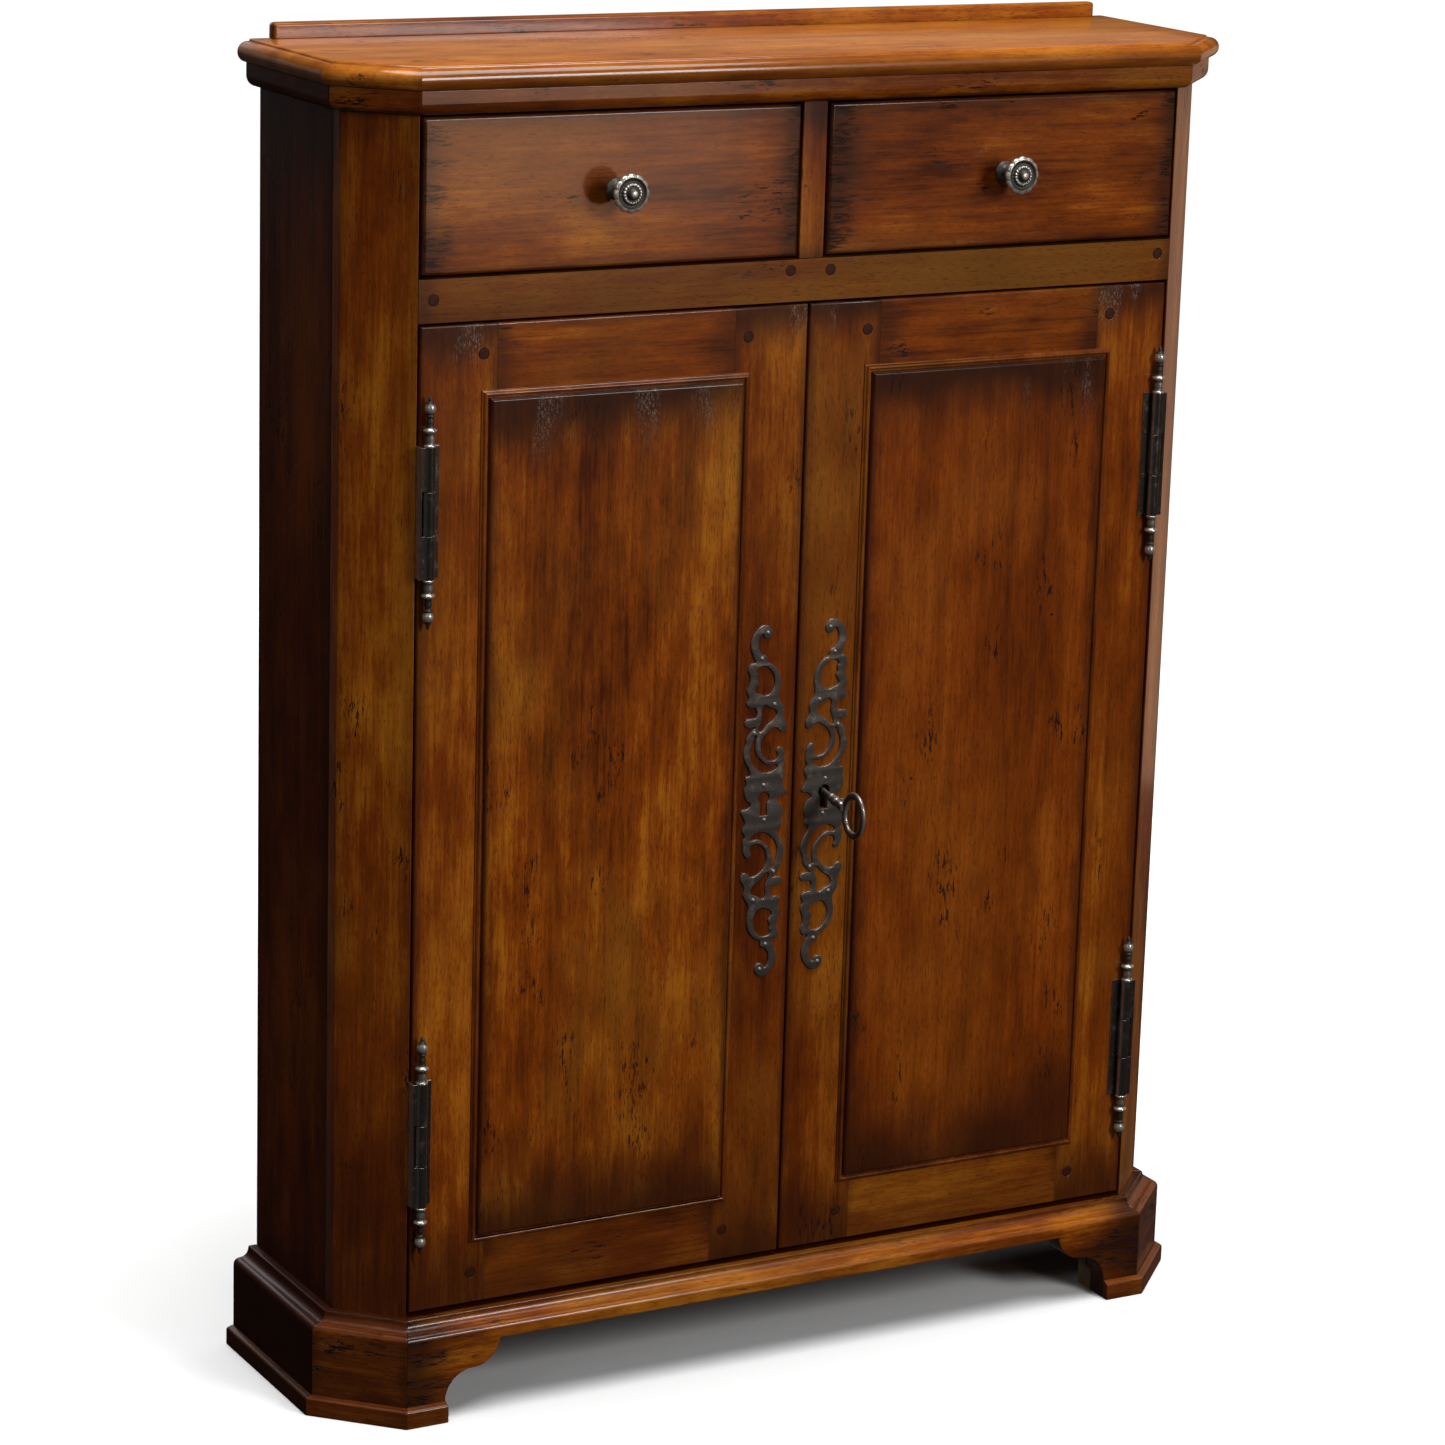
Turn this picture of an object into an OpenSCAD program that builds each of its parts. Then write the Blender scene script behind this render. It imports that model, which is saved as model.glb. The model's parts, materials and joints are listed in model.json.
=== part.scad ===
// Hall cupboard with canted front corners: two drawers over two panelled doors,
// on a bracket-footed plinth. Millimetres, +Z up, the front faces -Y.
// Sub-parts are drawn with y = 0 on the front plane of the case and then placed
// so that the bottom centre of the whole object's box is the origin.

/* [Case] */
// Width of the case over its side panels
case_w = 852; // [820:2:880]
// Depth of the case from its front plane to its back
case_d = 220; // [214:1:240]
// Height of the top board's upper face
top_z = 1195; // [1180:1:1230]
// Size of each canted corner, along the front and along the side
cant = 50; // [48:1:54]
// Thickness of the side panels
side_t = 20; // [18:1:22]
// Thickness of the back boards
back_t = 9; // [8:1:10]

/* [Top] */
// Thickness of the top board
top_t = 20; // [19:1:22]
// How far the top board's nose stands out past the case
nose_over = 21; // [18:1:24]
// Height of the gallery rail
gallery_h = 14; // [10:1:18]
// Thickness of the gallery rail
gallery_t = 12; // [10:1:14]
// Height of the moulding under the top board
bed_h = 21; // [20:1:24]
// How far that moulding stands out past the case
bed_over = 13; // [11:1:14]

/* [Plinth] */
// Height of the plinth
plinth_h = 93; // [90:1:100]
// How far the plinth stands out past the case
plinth_over = 23; // [22:1:24]
// Height of the case's lower edge behind the plinth
case_z = 69; // [66:1:70]
// Height of the shoe strip round the feet
shoe_h = 18; // [16:1:19]
// How far the shoe stands out past the plinth
shoe_t = 7; // [6:1:8]
// Width of a front foot at the floor, from the plinth's corner
foot_w = 38; // [34:1:42]

/* [Drawers] */
// Height of the drawer opening's lower edge
drawer_z = 1016.5; // [1015:0.5:1018]
// Thickness of a drawer front
front_t = 18; // [17:1:20]
// How far a drawer front stands proud of the case
front_proud = 1.5; // [1:0.5:2]
// Thickness of the drawer sides and back
lining_t = 12; // [10:1:12]
// Length of a drawer behind the front plane
drawer_l = 190; // [180:1:192]
// Width of the divider between the drawers
divider_w = 24; // [22:1:26]
// How far a drawer pulls out
drawer_travel = 130; // [100:5:150]

/* [Doors] */
// Thickness of the door frames
door_t = 22; // [21:1:23]
// Width of stiles and height of rails
stile_w = 72; // [70:1:74]
// Width of the frame that shows outside the panel moulding
reveal_w = 57; // [56:1:58]
// Width of the moulding round a panel
mould_w = 7; // [6:1:8]
// How far a panel stands proud of its frame
panel_proud = 5.5; // [5:0.5:6]
// Height of the drawer rail's lower edge, which is the doors' head
rail_z = 979.5; // [978:0.5:981]
// Gap round the doors
door_gap = 2.5; // [2.4:0.1:2.8]
// Gap between the two doors
meeting_gap = 2; // [1.6:0.1:2.4]

/* [Hinges] */
// Distance from the post's inner face to the hinge axis
hinge_in = 9; // [9:0.1:9.5]
// Distance of the hinge axis in front of the doors' face
hinge_out = 7; // [7:0.1:7.5]
// Radius of a knuckle
knuckle_r = 5; // [4.8:0.1:5]
// Radius of a hinge pin
hinge_pin_r = 2.5; // [2.3:0.1:2.6]
// Height of the three knuckles together
hinge_h = 114; // [110:1:120]
// Heights of the hinges' middles
hinge_mids = [255, 819];

/* [Lock and fittings] */
// Distance of each escutcheon's middle from the meeting line
escutcheon_x = 31; // [30:0.5:32]
// Height of the escutcheons' middle
escutcheon_z = 528.5; // [525:0.5:532]
// Thickness of the escutcheons
plate_t = 2; // [1.5:0.5:2]
// Angle by which the loose key droops
key_droop = 10; // [8:1:11]
// Reach of the key in front of the case
key_reach = 75; // [74:1:76]
// How far the lock bolt is thrown
bolt_throw = 8; // [6:1:8]
// How far a drawer knob stands out from the drawer
knob_reach = 36; // [32:1:40]
// Diameter of a drawer knob
knob_d = 34; // [30:1:36]

/* [Hidden] */
$fn = 48;

walnut = [0.42, 0.20, 0.09];
dark_walnut = [0.30, 0.14, 0.07];
lining = [0.66, 0.50, 0.32];
iron = [0.28, 0.28, 0.29];
pewter = [0.45, 0.43, 0.40];
eps = 0.01;
huge = 2000;

half_w = case_w / 2;
face_w = half_w - cant;
front_y = -(case_d - key_reach) / 2;
bevel_k = tan(22.5);
top_under = top_z - top_t;
drawer_head = top_under - bed_h;
inside_w = half_w - side_t;
post_y = cant + 15;
post_slope = 30;
rebate = 10;
frame_t = 20;

// Each visible edge of the case in plan: the angle of its outward normal, and a point on it.
EDGES = [
    [180, [-half_w, 0]], [225, [-face_w, 0]], [270, [0, 0]],
    [315, [face_w, 0]], [0, [half_w, 0]]
];
FRONT = 2;

// Plan outline of the canted case, moved outwards by o; the back stays flush.
function outline(o) = [
    [-(half_w + o), case_d], [-(half_w + o), cant - o * bevel_k],
    [-(face_w + o * bevel_k), -o], [face_w + o * bevel_k, -o],
    [half_w + o, cant - o * bevel_k], [half_w + o, case_d]
];

module at_front() translate([0, front_y, 0]) children();
module both_sides() { children(); mirror([1, 0, 0]) children(); }
module box(x0, x1, y0, y1, z0, z1)
    translate([x0, y0, z0]) cube([x1 - x0, y1 - y0, z1 - z0]);

// Sweeps a section (x = outward, y = up) straight along edge i.
module along(i) translate([EDGES[i][1].x, EDGES[i][1].y, 0])
    rotate([0, 0, EDGES[i][0]]) rotate([90, 0, 0])
        linear_extrude(height = huge, center = true) children();

// The part of the plan that belongs to edge i, between offsets a and b. Its ends are mitred,
// with a hairline left for the glue.
glue = 0.03;
module mitre(i, a, b) {
    p = outline(a);
    q = outline(b);
    step = glue * (p[i + 1] - p[i]) / norm(p[i + 1] - p[i]);
    translate([0, 0, -1]) linear_extrude(height = top_z + 50)
        polygon([p[i] + step, p[i + 1] - step, q[i + 1] - step, q[i] + step]);
}

module strip(i, a, b) intersection() { mitre(i, a, b); along(i) children(); }

// A board with its four front arrises rounded, its front at y = y0.
module eased(x0, x1, y0, y1, z0, z1, r) intersection() {
    translate([0, 0, z0]) linear_extrude(height = z1 - z0) union() {
        translate([x0, y0 + r]) square([x1 - x0, y1 - y0 - r]);
        translate([x0 + r, y0]) square([x1 - x0 - 2 * r, r + eps]);
        for (x = [x0 + r, x1 - r]) translate([x, y0 + r]) circle(r);
    }
    translate([x0 - 1, 0, 0]) rotate([90, 0, 90]) linear_extrude(height = x1 - x0 + 2) union() {
        translate([y0 + r, z0]) square([y1 - y0 - r, z1 - z0]);
        translate([y0, z0 + r]) square([r + eps, z1 - z0 - 2 * r]);
        for (z = [z0 + r, z1 - r]) translate([y0 + r, z]) circle(r);
    }
}

// A turned piece on a horizontal axis that points at the front; the profile is [radius, reach].
module turned(x, z, profile) translate([x, 0, z]) rotate([90, 0, 0])
    rotate_extrude() polygon(profile);

// ---- Carcase ----

module side_panel() difference() {
    box(-half_w, -inside_w, post_y, case_d, case_z, top_under);
    box(-half_w + rebate, -inside_w + 1, case_d - back_t, case_d + 1, case_z - 1, top_under + 1);
}

module corner_post() translate([0, 0, case_z]) linear_extrude(height = top_under - case_z)
    polygon([[-face_w, 0], [-half_w, cant], [-half_w, post_y], [-inside_w, post_y],
             [-face_w, post_y - post_slope]]);

module left_side_panel() color(dark_walnut) at_front() side_panel();
module right_side_panel() color(walnut) at_front() mirror([1, 0, 0]) side_panel();
module left_corner_post() color(walnut) at_front() corner_post();
module right_corner_post() color(walnut) at_front() mirror([1, 0, 0]) corner_post();

nose_r = 9;
step_h = top_t - 2 * nose_r;
module nose_section() union() {
    translate([-huge, top_under]) square([huge + nose_over - nose_r, 2 * nose_r]);
    translate([nose_over - nose_r, top_under + nose_r]) circle(nose_r);
    translate([-huge, top_z - step_h - eps]) square([huge + nose_over - nose_r - 1, step_h + eps]);
}
// The gallery rail is let into the top board by the height of the board's small step.
gallery_w = half_w - 7.5;
gallery_r = 5;
module top_board() color(walnut) at_front() difference() {
    intersection() {
        linear_extrude(height = top_z + 1) polygon(outline(nose_over + 1));
        along(0) nose_section();
        along(1) nose_section();
        along(2) nose_section();
        along(3) nose_section();
        along(4) nose_section();
    }
    box(-gallery_w, gallery_w, case_d - gallery_t, case_d + 1, top_z - step_h, top_z + 1);
}
module gallery_rail() color(walnut) at_front() translate([0, case_d, top_z]) rotate([90, 0, 0])
    linear_extrude(height = gallery_t) union() {
        translate([-gallery_w, -step_h]) square([2 * gallery_w, gallery_h - gallery_r + step_h]);
        translate([-gallery_w + gallery_r, 0]) square([2 * (gallery_w - gallery_r), gallery_h]);
        for (s = [-1, 1]) translate([s * (gallery_w - gallery_r), gallery_h - gallery_r])
            circle(gallery_r);
    }

bed_r = 10;
module bed_section() translate([0, drawer_head]) difference() {
    square([bed_over, bed_h]);
    difference() {
        translate([bed_over - bed_r, -1]) square([bed_r + 1, bed_r + 1]);
        translate([bed_over - bed_r, bed_r]) circle(bed_r);
    }
}
module bed_moulding() color(walnut) at_front()
    for (i = [0:4]) strip(i, 0, bed_over + 1) bed_section();

module top_rail() color(walnut) at_front()
    box(-face_w, face_w, 0, frame_t, drawer_head, top_under);

rail_d = 40;
bolt_x = -30;
bolt_y = 28;
bolt_r = 3;
PEGS = [[-362, 999], [-20, 1007], [20, 1006], [363, 1004]];
peg_r = 5;
peg_l = 8;
module drawer_rail() color(walnut) at_front() difference() {
    box(-face_w, face_w, 0, rail_d, rail_z, drawer_z);
    translate([bolt_x, bolt_y, rail_z - 1]) cylinder(r = bolt_r + 0.6, h = 16);
    for (p = PEGS) turned(p.x, p.y, [[0, -peg_l], [peg_r, -peg_l], [peg_r, 1], [0, 1]]);
}
module rail_pegs() color(dark_walnut) at_front()
    for (p = PEGS) turned(p.x, p.y, [[0, -peg_l], [peg_r, -peg_l], [peg_r, 0], [0, 0]]);

module drawer_divider() color(walnut) at_front()
    box(-divider_w / 2, divider_w / 2, 0, frame_t, drawer_z, drawer_head);

// The board's front edge is rebated, and the step behind the doors stops them.
bottom_z = 72;
stop_z = 102;
stop_y = door_t + 1;
module bottom_board() color(walnut) at_front() difference() {
    box(-inside_w, inside_w, 0, case_d - back_t, bottom_z, stop_z);
    box(-inside_w - 1, inside_w + 1, -1, stop_y, plinth_h - 1, stop_z + 1);
    both_sides() translate([0, 0, bottom_z - 1]) linear_extrude(height = stop_z)
        polygon([[-face_w, -1], [-face_w, post_y - post_slope], [-inside_w, post_y],
                 [-inside_w - 1, post_y], [-inside_w - 1, -1]]);
}

module back_panel() color(dark_walnut) at_front()
    box(-half_w + rebate, half_w - rebate, case_d - back_t, case_d, case_z, top_under);

shelf_z = 530;
shelf_t = 18;
shelf_y = post_y + 2;
bearer_w = 15;
module shelf() color(dark_walnut) at_front()
    box(-inside_w + 1, inside_w - 1, shelf_y, case_d - back_t - 1, shelf_z, shelf_z + shelf_t);
module shelf_bearers() color(dark_walnut) at_front() both_sides()
    box(-inside_w, -inside_w + bearer_w, shelf_y, case_d - back_t - 4, shelf_z - shelf_t, shelf_z);

// Runners with their guides under the drawers, kickers over them, and the rail behind.
runner_z = drawer_z + 1.5;
runner_t = 16;
runner_w = 26;
middle_w = 80;
guide_h = 22;
guide_gap = 2.5;
runner_y1 = case_d - back_t - frame_t;
module drawer_runners() color(lining) at_front() {
    both_sides() {
        box(-inside_w, -face_w + runner_w, post_y, runner_y1, runner_z - runner_t, runner_z);
        box(-inside_w, -face_w + guide_gap, post_y, runner_y1, runner_z, runner_z + guide_h);
        box(-inside_w, -face_w + runner_w, post_y, case_d - back_t, drawer_head,
            drawer_head + runner_t);
    }
    box(-middle_w / 2, middle_w / 2, rail_d, runner_y1, runner_z - runner_t, runner_z);
    box(-divider_w / 2 - guide_gap + 0.5, divider_w / 2 + guide_gap - 0.5, rail_d, runner_y1,
        runner_z, runner_z + guide_h);
    box(-middle_w / 2, middle_w / 2, frame_t, case_d - back_t, drawer_head, drawer_head + runner_t);
    box(-inside_w, inside_w, runner_y1, case_d - back_t, rail_z, runner_z);
}

// ---- Plinth ----

cove_r = 8;
ovolo_r = 6;
module plinth_section() union() {
    square([plinth_over, plinth_h - cove_r - 2 - ovolo_r]);
    translate([0, 1]) square([plinth_over - ovolo_r, plinth_h - cove_r - 3]);
    intersection() {
        translate([plinth_over - ovolo_r, plinth_h - cove_r - 2 - ovolo_r]) circle(ovolo_r);
        square([plinth_over, plinth_h]);
    }
    translate([0, 1]) square([cove_r, plinth_h - 1]);
    difference() {
        translate([1, 1]) square([plinth_over - ovolo_r - 1.5, plinth_h - 3]);
        translate([2 * cove_r, plinth_h - 2]) circle(cove_r);
        translate([2 * cove_r, 0]) square([plinth_over, plinth_h + 1]);
    }
}

corner_x = face_w + plinth_over * bevel_k;
arch_r = 27;
lobe_r = 26;
// Elevation of the front plinth board: an apron between two ogee bracket feet.
module front_elevation() union() {
    translate([-corner_x - 1, case_z]) square([2 * corner_x + 2, plinth_h - case_z]);
    for (s = [-1, 1]) scale([s, 1]) {
        translate([corner_x - foot_w, 0]) square([foot_w + 1, case_z + 1]);
        difference() {
            translate([corner_x - foot_w - arch_r, shoe_h]) square([arch_r + 1, case_z - shoe_h + 1]);
            translate([corner_x - foot_w - arch_r, shoe_h]) circle(arch_r);
        }
        intersection() {
            translate([corner_x - foot_w - arch_r, shoe_h + arch_r + lobe_r]) circle(lobe_r);
            translate([corner_x - foot_w - arch_r - lobe_r, 0]) square([lobe_r + 1, case_z + 1]);
        }
    }
}
module plinth_front() color(walnut) at_front() intersection() {
    strip(FRONT, 0, plinth_over + 1) plinth_section();
    translate([0, 1, 0]) rotate([90, 0, 0]) linear_extrude(height = plinth_over + 3) front_elevation();
}
module plinth_cants() color(walnut) at_front()
    for (i = [1, 3]) strip(i, 0, plinth_over + 1) plinth_section();
module left_plinth_side() color(dark_walnut) at_front()
    strip(0, 0, plinth_over + 1) plinth_section();
module right_plinth_side() color(walnut) at_front()
    strip(4, 0, plinth_over + 1) plinth_section();
plinth_clear = 30;
module plinth_back() color(dark_walnut) at_front()
    box(-half_w, half_w, case_d - frame_t, case_d, plinth_clear, case_z);

module shoe_section() translate([plinth_over, 0])
    polygon([[0, 0], [shoe_t, 0], [shoe_t, shoe_h - 3], [shoe_t - 1.5, shoe_h - 1.2], [0, shoe_h]]);
module shoe_strips() color(walnut) at_front() {
    for (i = [0, 1, 3, 4]) strip(i, plinth_over, plinth_over + shoe_t + 1) shoe_section();
    difference() {
        strip(FRONT, plinth_over, plinth_over + shoe_t + 1) shoe_section();
        box(-corner_x + foot_w, corner_x - foot_w, -huge, huge, -1, plinth_h);
    }
}

block_w = 28;
block_in = 22;
module foot_blocks() color(lining) at_front() both_sides() {
    linear_extrude(height = case_z) polygon([
        [-face_w + block_w, 0], [-face_w, 0], [-half_w, cant], [-half_w, cant + block_w],
        [-half_w + block_in, cant + block_w], [-face_w + block_w, block_in]]);
    box(-half_w, -half_w + block_w, case_d - frame_t - block_w, case_d - frame_t, 0, case_z);
}

// ---- Hinges ----

hinge_x = face_w - hinge_in;
knuckle_h = hinge_h / 3;
running = 0.05;
leaf_t = 1.6;
leaf_w = 11.5;
play = 0.3;
module knuckle(z0, z1) difference() {
    translate([-hinge_x, -hinge_out, z0]) cylinder(r = knuckle_r, h = z1 - z0);
    translate([-hinge_x, -hinge_out, z0 - 1]) cylinder(r = hinge_pin_r + running, h = z1 - z0 + 2);
}
module clear_of_pin(z0, z1) difference() {
    children();
    translate([-hinge_x, -hinge_out, z0 - 1]) cylinder(r = knuckle_r - 1, h = z1 - z0 + 2);
}

// The frame's leaf lies on the post beside the door's edge and carries the outer knuckles.
module frame_leaf(m) {
    z0 = m - hinge_h / 2;
    z1 = m + hinge_h / 2;
    union() {
        box(-face_w, -face_w + leaf_t, -hinge_out - leaf_t, door_t - 2, z0, z1);
        for (z = [z0, z1 - knuckle_h + play]) {
            knuckle(z, z + knuckle_h - play);
            clear_of_pin(z, z + knuckle_h)
                box(-face_w, -hinge_x, -hinge_out - leaf_t, -hinge_out, z, z + knuckle_h - play);
        }
    }
}
module frame_hinge_leaves() color(iron) at_front() both_sides()
    for (m = hinge_mids) frame_leaf(m);

// The door's leaf lies on the door's face and carries the middle knuckle.
module door_leaf(m) {
    z0 = m - knuckle_h / 2 + play;
    z1 = m + knuckle_h / 2 - play;
    union() {
        box(-hinge_x - 4, -hinge_x + leaf_w, -leaf_t, 0, m - hinge_h / 2, m + hinge_h / 2);
        knuckle(z0, z1);
        clear_of_pin(z0, z1)
            box(-hinge_x - 3, -hinge_x + 3, -hinge_out + 2, -leaf_t + 0.2, z0, z1);
    }
}
module left_door_leaves() color(iron) at_front() for (m = hinge_mids) door_leaf(m);
module right_door_leaves() color(iron) at_front() mirror([1, 0, 0])
    for (m = hinge_mids) door_leaf(m);

// A turned finial, as [radius, height] from the knuckle's end.
FINIAL = [[0, 0], [knuckle_r - 0.2, 0], [knuckle_r + 0.3, 0.6], [knuckle_r + 0.3, 1.4], [3.6, 3],
          [4.1, 8], [3.4, 11.5], [6, 13.4], [6, 15], [3.2, 17], [3.3, 22], [2.6, 25], [3.6, 26.6],
          [3, 28], [4.9, 31.5], [4.9, 34], [3.2, 37.4], [1.8, 39.6], [0.6, 43.6], [0, 44]];
module hinge_pin(m) translate([-hinge_x, -hinge_out, m]) {
    cylinder(r = hinge_pin_r, h = hinge_h, center = true);
    for (s = [0, 1]) mirror([0, 0, s]) translate([0, 0, hinge_h / 2]) rotate_extrude()
        polygon(FINIAL);
}
module hinge_pins() color(iron) at_front() both_sides() for (m = hinge_mids) hinge_pin(m);

// ---- Drawers ----

drawer_x0 = -face_w + door_gap;
drawer_x1 = -divider_w / 2 - door_gap;
drawer_mid = (drawer_x0 + drawer_x1) / 2;
front_z0 = drawer_z + 3;
front_z1 = drawer_head - door_gap;
knob_z = (front_z0 + front_z1) / 2;
lap = 4.5;
side_z1 = front_z1 - 11;
groove_z = front_z0 + 7;
groove_t = 5;
arris = 3;

module drawer_front() difference() {
    eased(drawer_x0, drawer_x1, -front_proud, front_t - front_proud, front_z0, front_z1, arris);
    for (x = [drawer_x0 - 1, drawer_x1 - lining_t - 1])
        box(x, x + lining_t + 2, front_t - front_proud - lap, front_t, front_z0 - 1, side_z1);
    box(drawer_x0 + 8, drawer_x1 - 8, front_t - front_proud - lap, front_t, groove_z,
        groove_z + groove_t);
    turned(drawer_mid, knob_z,
        [[0, -front_t - 1], [screw_r, -front_t - 1], [screw_r, 3], [0, 3]]);
}
module drawer_sides() for (x = [drawer_x0 + 1, drawer_x1 - lining_t - 1]) difference() {
    box(x, x + lining_t, front_t - front_proud - lap, drawer_l, front_z0 - 1, side_z1);
    box(drawer_x0 + lining_t - 3, drawer_x1 - lining_t + 3, 0, drawer_l - lining_t, groove_z,
        groove_z + groove_t);
}
module drawer_back() box(drawer_x0 + 1 + lining_t, drawer_x1 - 1 - lining_t,
    drawer_l - lining_t, drawer_l, groove_z + groove_t, side_z1 - 2);
module drawer_bottom() box(drawer_x0 + lining_t - 3, drawer_x1 - lining_t + 3,
    front_t - front_proud - lap, drawer_l - lining_t, groove_z, groove_z + groove_t);

// Knob section, [radius, reach from the drawer's face]: foot, thin stem, collar, dished head.
knob_r = knob_d / 2;
screw_r = 2;
screw_in = 12;
KNOB = [[screw_r + running, 0], [9, 0], [9, 1.5], [6, 3], [4.2, 6], [4.2, 12], [6, 13.5],
        [6, 15.5], [4.6, 17], [7, 22], [knob_r - 3, 25.5], [knob_r - 0.5, 27], [knob_r, 28.8],
        [knob_r - 1, 30.8], [knob_r - 3.5, 31.4], [knob_r - 5, 30.2], [8.5, 30.2], [7.6, 32.6],
        [6.4, 32.6], [5.6, 31.6], [4.8, 34.6], [2.6, knob_reach - 0.2], [0, knob_reach],
        [0, screw_in + 1], [screw_r + running, screw_in + 1]];
module drawer_knob() translate([0, -front_proud, 0]) turned(drawer_mid, knob_z, KNOB);
module knob_screw() translate([0, front_t - front_proud, 0]) turned(drawer_mid, knob_z,
    [[0, -3], [3, -3], [5, -1], [5, 0], [screw_r, 0], [screw_r, front_t + screw_in],
     [0, front_t + screw_in]]);

module left_drawer_front() color(walnut) at_front() drawer_front();
module left_drawer_sides() color(lining) at_front() drawer_sides();
module left_drawer_back() color(lining) at_front() drawer_back();
module left_drawer_bottom() color(lining) at_front() drawer_bottom();
module left_knob() color(pewter) at_front() drawer_knob();
module left_knob_screw() color(iron) at_front() knob_screw();
module right_drawer_front() color(walnut) at_front() mirror([1, 0, 0]) drawer_front();
module right_drawer_sides() color(lining) at_front() mirror([1, 0, 0]) drawer_sides();
module right_drawer_back() color(lining) at_front() mirror([1, 0, 0]) drawer_back();
module right_drawer_bottom() color(lining) at_front() mirror([1, 0, 0]) drawer_bottom();
module right_knob() color(pewter) at_front() mirror([1, 0, 0]) drawer_knob();
module right_knob_screw() color(iron) at_front() mirror([1, 0, 0]) knob_screw();

// ---- Doors ----

door_x0 = -face_w + door_gap;
door_x1 = -meeting_gap / 2;
door_z0 = plinth_h + 4;
door_z1 = rail_z - door_gap;
tongue_y0 = 9;
tongue_t = 8;
tongue_w = 9;
tenon_l = 34;
tenon_h = stile_w - 22;
open_x0 = door_x0 + stile_w;
open_x1 = door_x1 - stile_w;
open_z0 = door_z0 + stile_w;
open_z1 = door_z1 - stile_w;
field_x0 = door_x0 + reveal_w + mould_w;
field_x1 = door_x1 - reveal_w - mould_w;
field_z0 = door_z0 + reveal_w + mould_w;
field_z1 = door_z1 - reveal_w - mould_w;
door_peg_in = 26;
peg_line = 59;
DOOR_PEGS = [for (x = [door_x0 + peg_line, door_x1 - peg_line]) for (z = [door_z0 + door_peg_in + 3,
    door_z1 - door_peg_in]) [x, z]];

module door_slab() eased(door_x0, door_x1, 0, door_t, door_z0, door_z1, 2);
module door_rail_tenons() for (z = [door_z0 + 8, open_z1 + 14])
    box(open_x0 - tenon_l, open_x1 + tenon_l, tongue_y0, tongue_y0 + tongue_t, z, z + tenon_h);
module panel_grooves()
    box(open_x0 - tongue_w - 1, open_x1 + tongue_w + 1, tongue_y0, tongue_y0 + tongue_t,
        open_z0 - tongue_w - 1, open_z1 + tongue_w + 1);
module peg_holes() for (p = DOOR_PEGS)
    turned(p.x, p.y, [[0, -door_t - 1], [peg_r, -door_t - 1], [peg_r, 1], [0, 1]]);

module hinge_stile() difference() {
    intersection() { door_slab(); box(door_x0 - 1, open_x0, -1, door_t + 1, door_z0 - 1, door_z1 + 1); }
    panel_grooves();
    door_rail_tenons();
    peg_holes();
}
module lock_stile() difference() {
    intersection() { door_slab(); box(open_x1, door_x1 + 1, -1, door_t + 1, door_z0 - 1, door_z1 + 1); }
    panel_grooves();
    door_rail_tenons();
    peg_holes();
}
module door_rails() difference() {
    union() {
        difference() {
            intersection() {
                door_slab();
                union() for (z = [door_z0 - 1, open_z1])
                    box(open_x0, open_x1, -1, door_t + 1, z, z + stile_w + 1);
            }
            panel_grooves();
        }
        door_rail_tenons();
    }
    peg_holes();
}
module door_panel() union() {
    box(field_x0, field_x1, -panel_proud, 0, field_z0, field_z1);
    box(open_x0, open_x1, 0, tongue_y0 + tongue_t, open_z0, open_z1);
    box(open_x0 - tongue_w, open_x1 + tongue_w, tongue_y0, tongue_y0 + tongue_t,
        open_z0 - tongue_w, open_z1 + tongue_w);
}
module door_pegs() for (p = DOOR_PEGS)
    turned(p.x, p.y, [[0, -door_t], [peg_r, -door_t], [peg_r, 0], [0, 0]]);

// Section of the planted moulding: x from its outer edge inwards, y forward of the frame.
bead_r = 1.8;
module bead_section() union() {
    square([mould_w, 1.4]);
    translate([3.2, bead_r + 0.2]) circle(bead_r);
}
// One mitred side of the moulding, centred on x and reaching down from the panel's middle.
module bead_side(length, reach) intersection() {
    translate([0, 0, -reach]) multmatrix([[0, 0, 1, 0], [0, -1, 0, 0], [1, 0, 0, 0]])
        linear_extrude(height = length, center = true) bead_section();
    rotate([90, 0, 0]) linear_extrude(height = 20, center = true)
        polygon([[-length / 2, -reach], [length / 2, -reach],
                 [length / 2 - mould_w, -reach + mould_w], [-length / 2 + mould_w, -reach + mould_w]]);
}
module panel_moulding() {
    across = field_x1 - field_x0 + 2 * mould_w;
    up = field_z1 - field_z0 + 2 * mould_w;
    translate([(field_x0 + field_x1) / 2, 0, (field_z0 + field_z1) / 2]) for (a = [0, 180]) {
        rotate([0, a, 0]) bead_side(across, up / 2);
        rotate([0, a + 90, 0]) bead_side(up, across / 2);
    }
}

// ---- Escutcheons ----
// Drawn with their middle at [0, 0]; the lower half is the upper half turned half round.

function unit(v) = v / norm(v);
function tangent(p, i) = let (n = len(p))
    unit(unit(p[i] - p[(i + n - 1) % n]) + unit(p[(i + 1) % n] - p[i]));
function bezier(a, b, c, d, t) = pow(1 - t, 3) * a + 3 * pow(1 - t, 2) * t * b
    + 3 * (1 - t) * t * t * c + t * t * t * d;
// A closed smooth curve through the points, with three straight bits to a span.
bits = 3;
function smooth(p) = [for (i = [0 : len(p) - 1])
    let (j = (i + 1) % len(p), h = 0.39 * norm(p[j] - p[i])) for (k = [0 : bits - 1])
        bezier(p[i], p[i] + h * tangent(p, i), p[j] - h * tangent(p, j), p[j], k / bits)];

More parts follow.
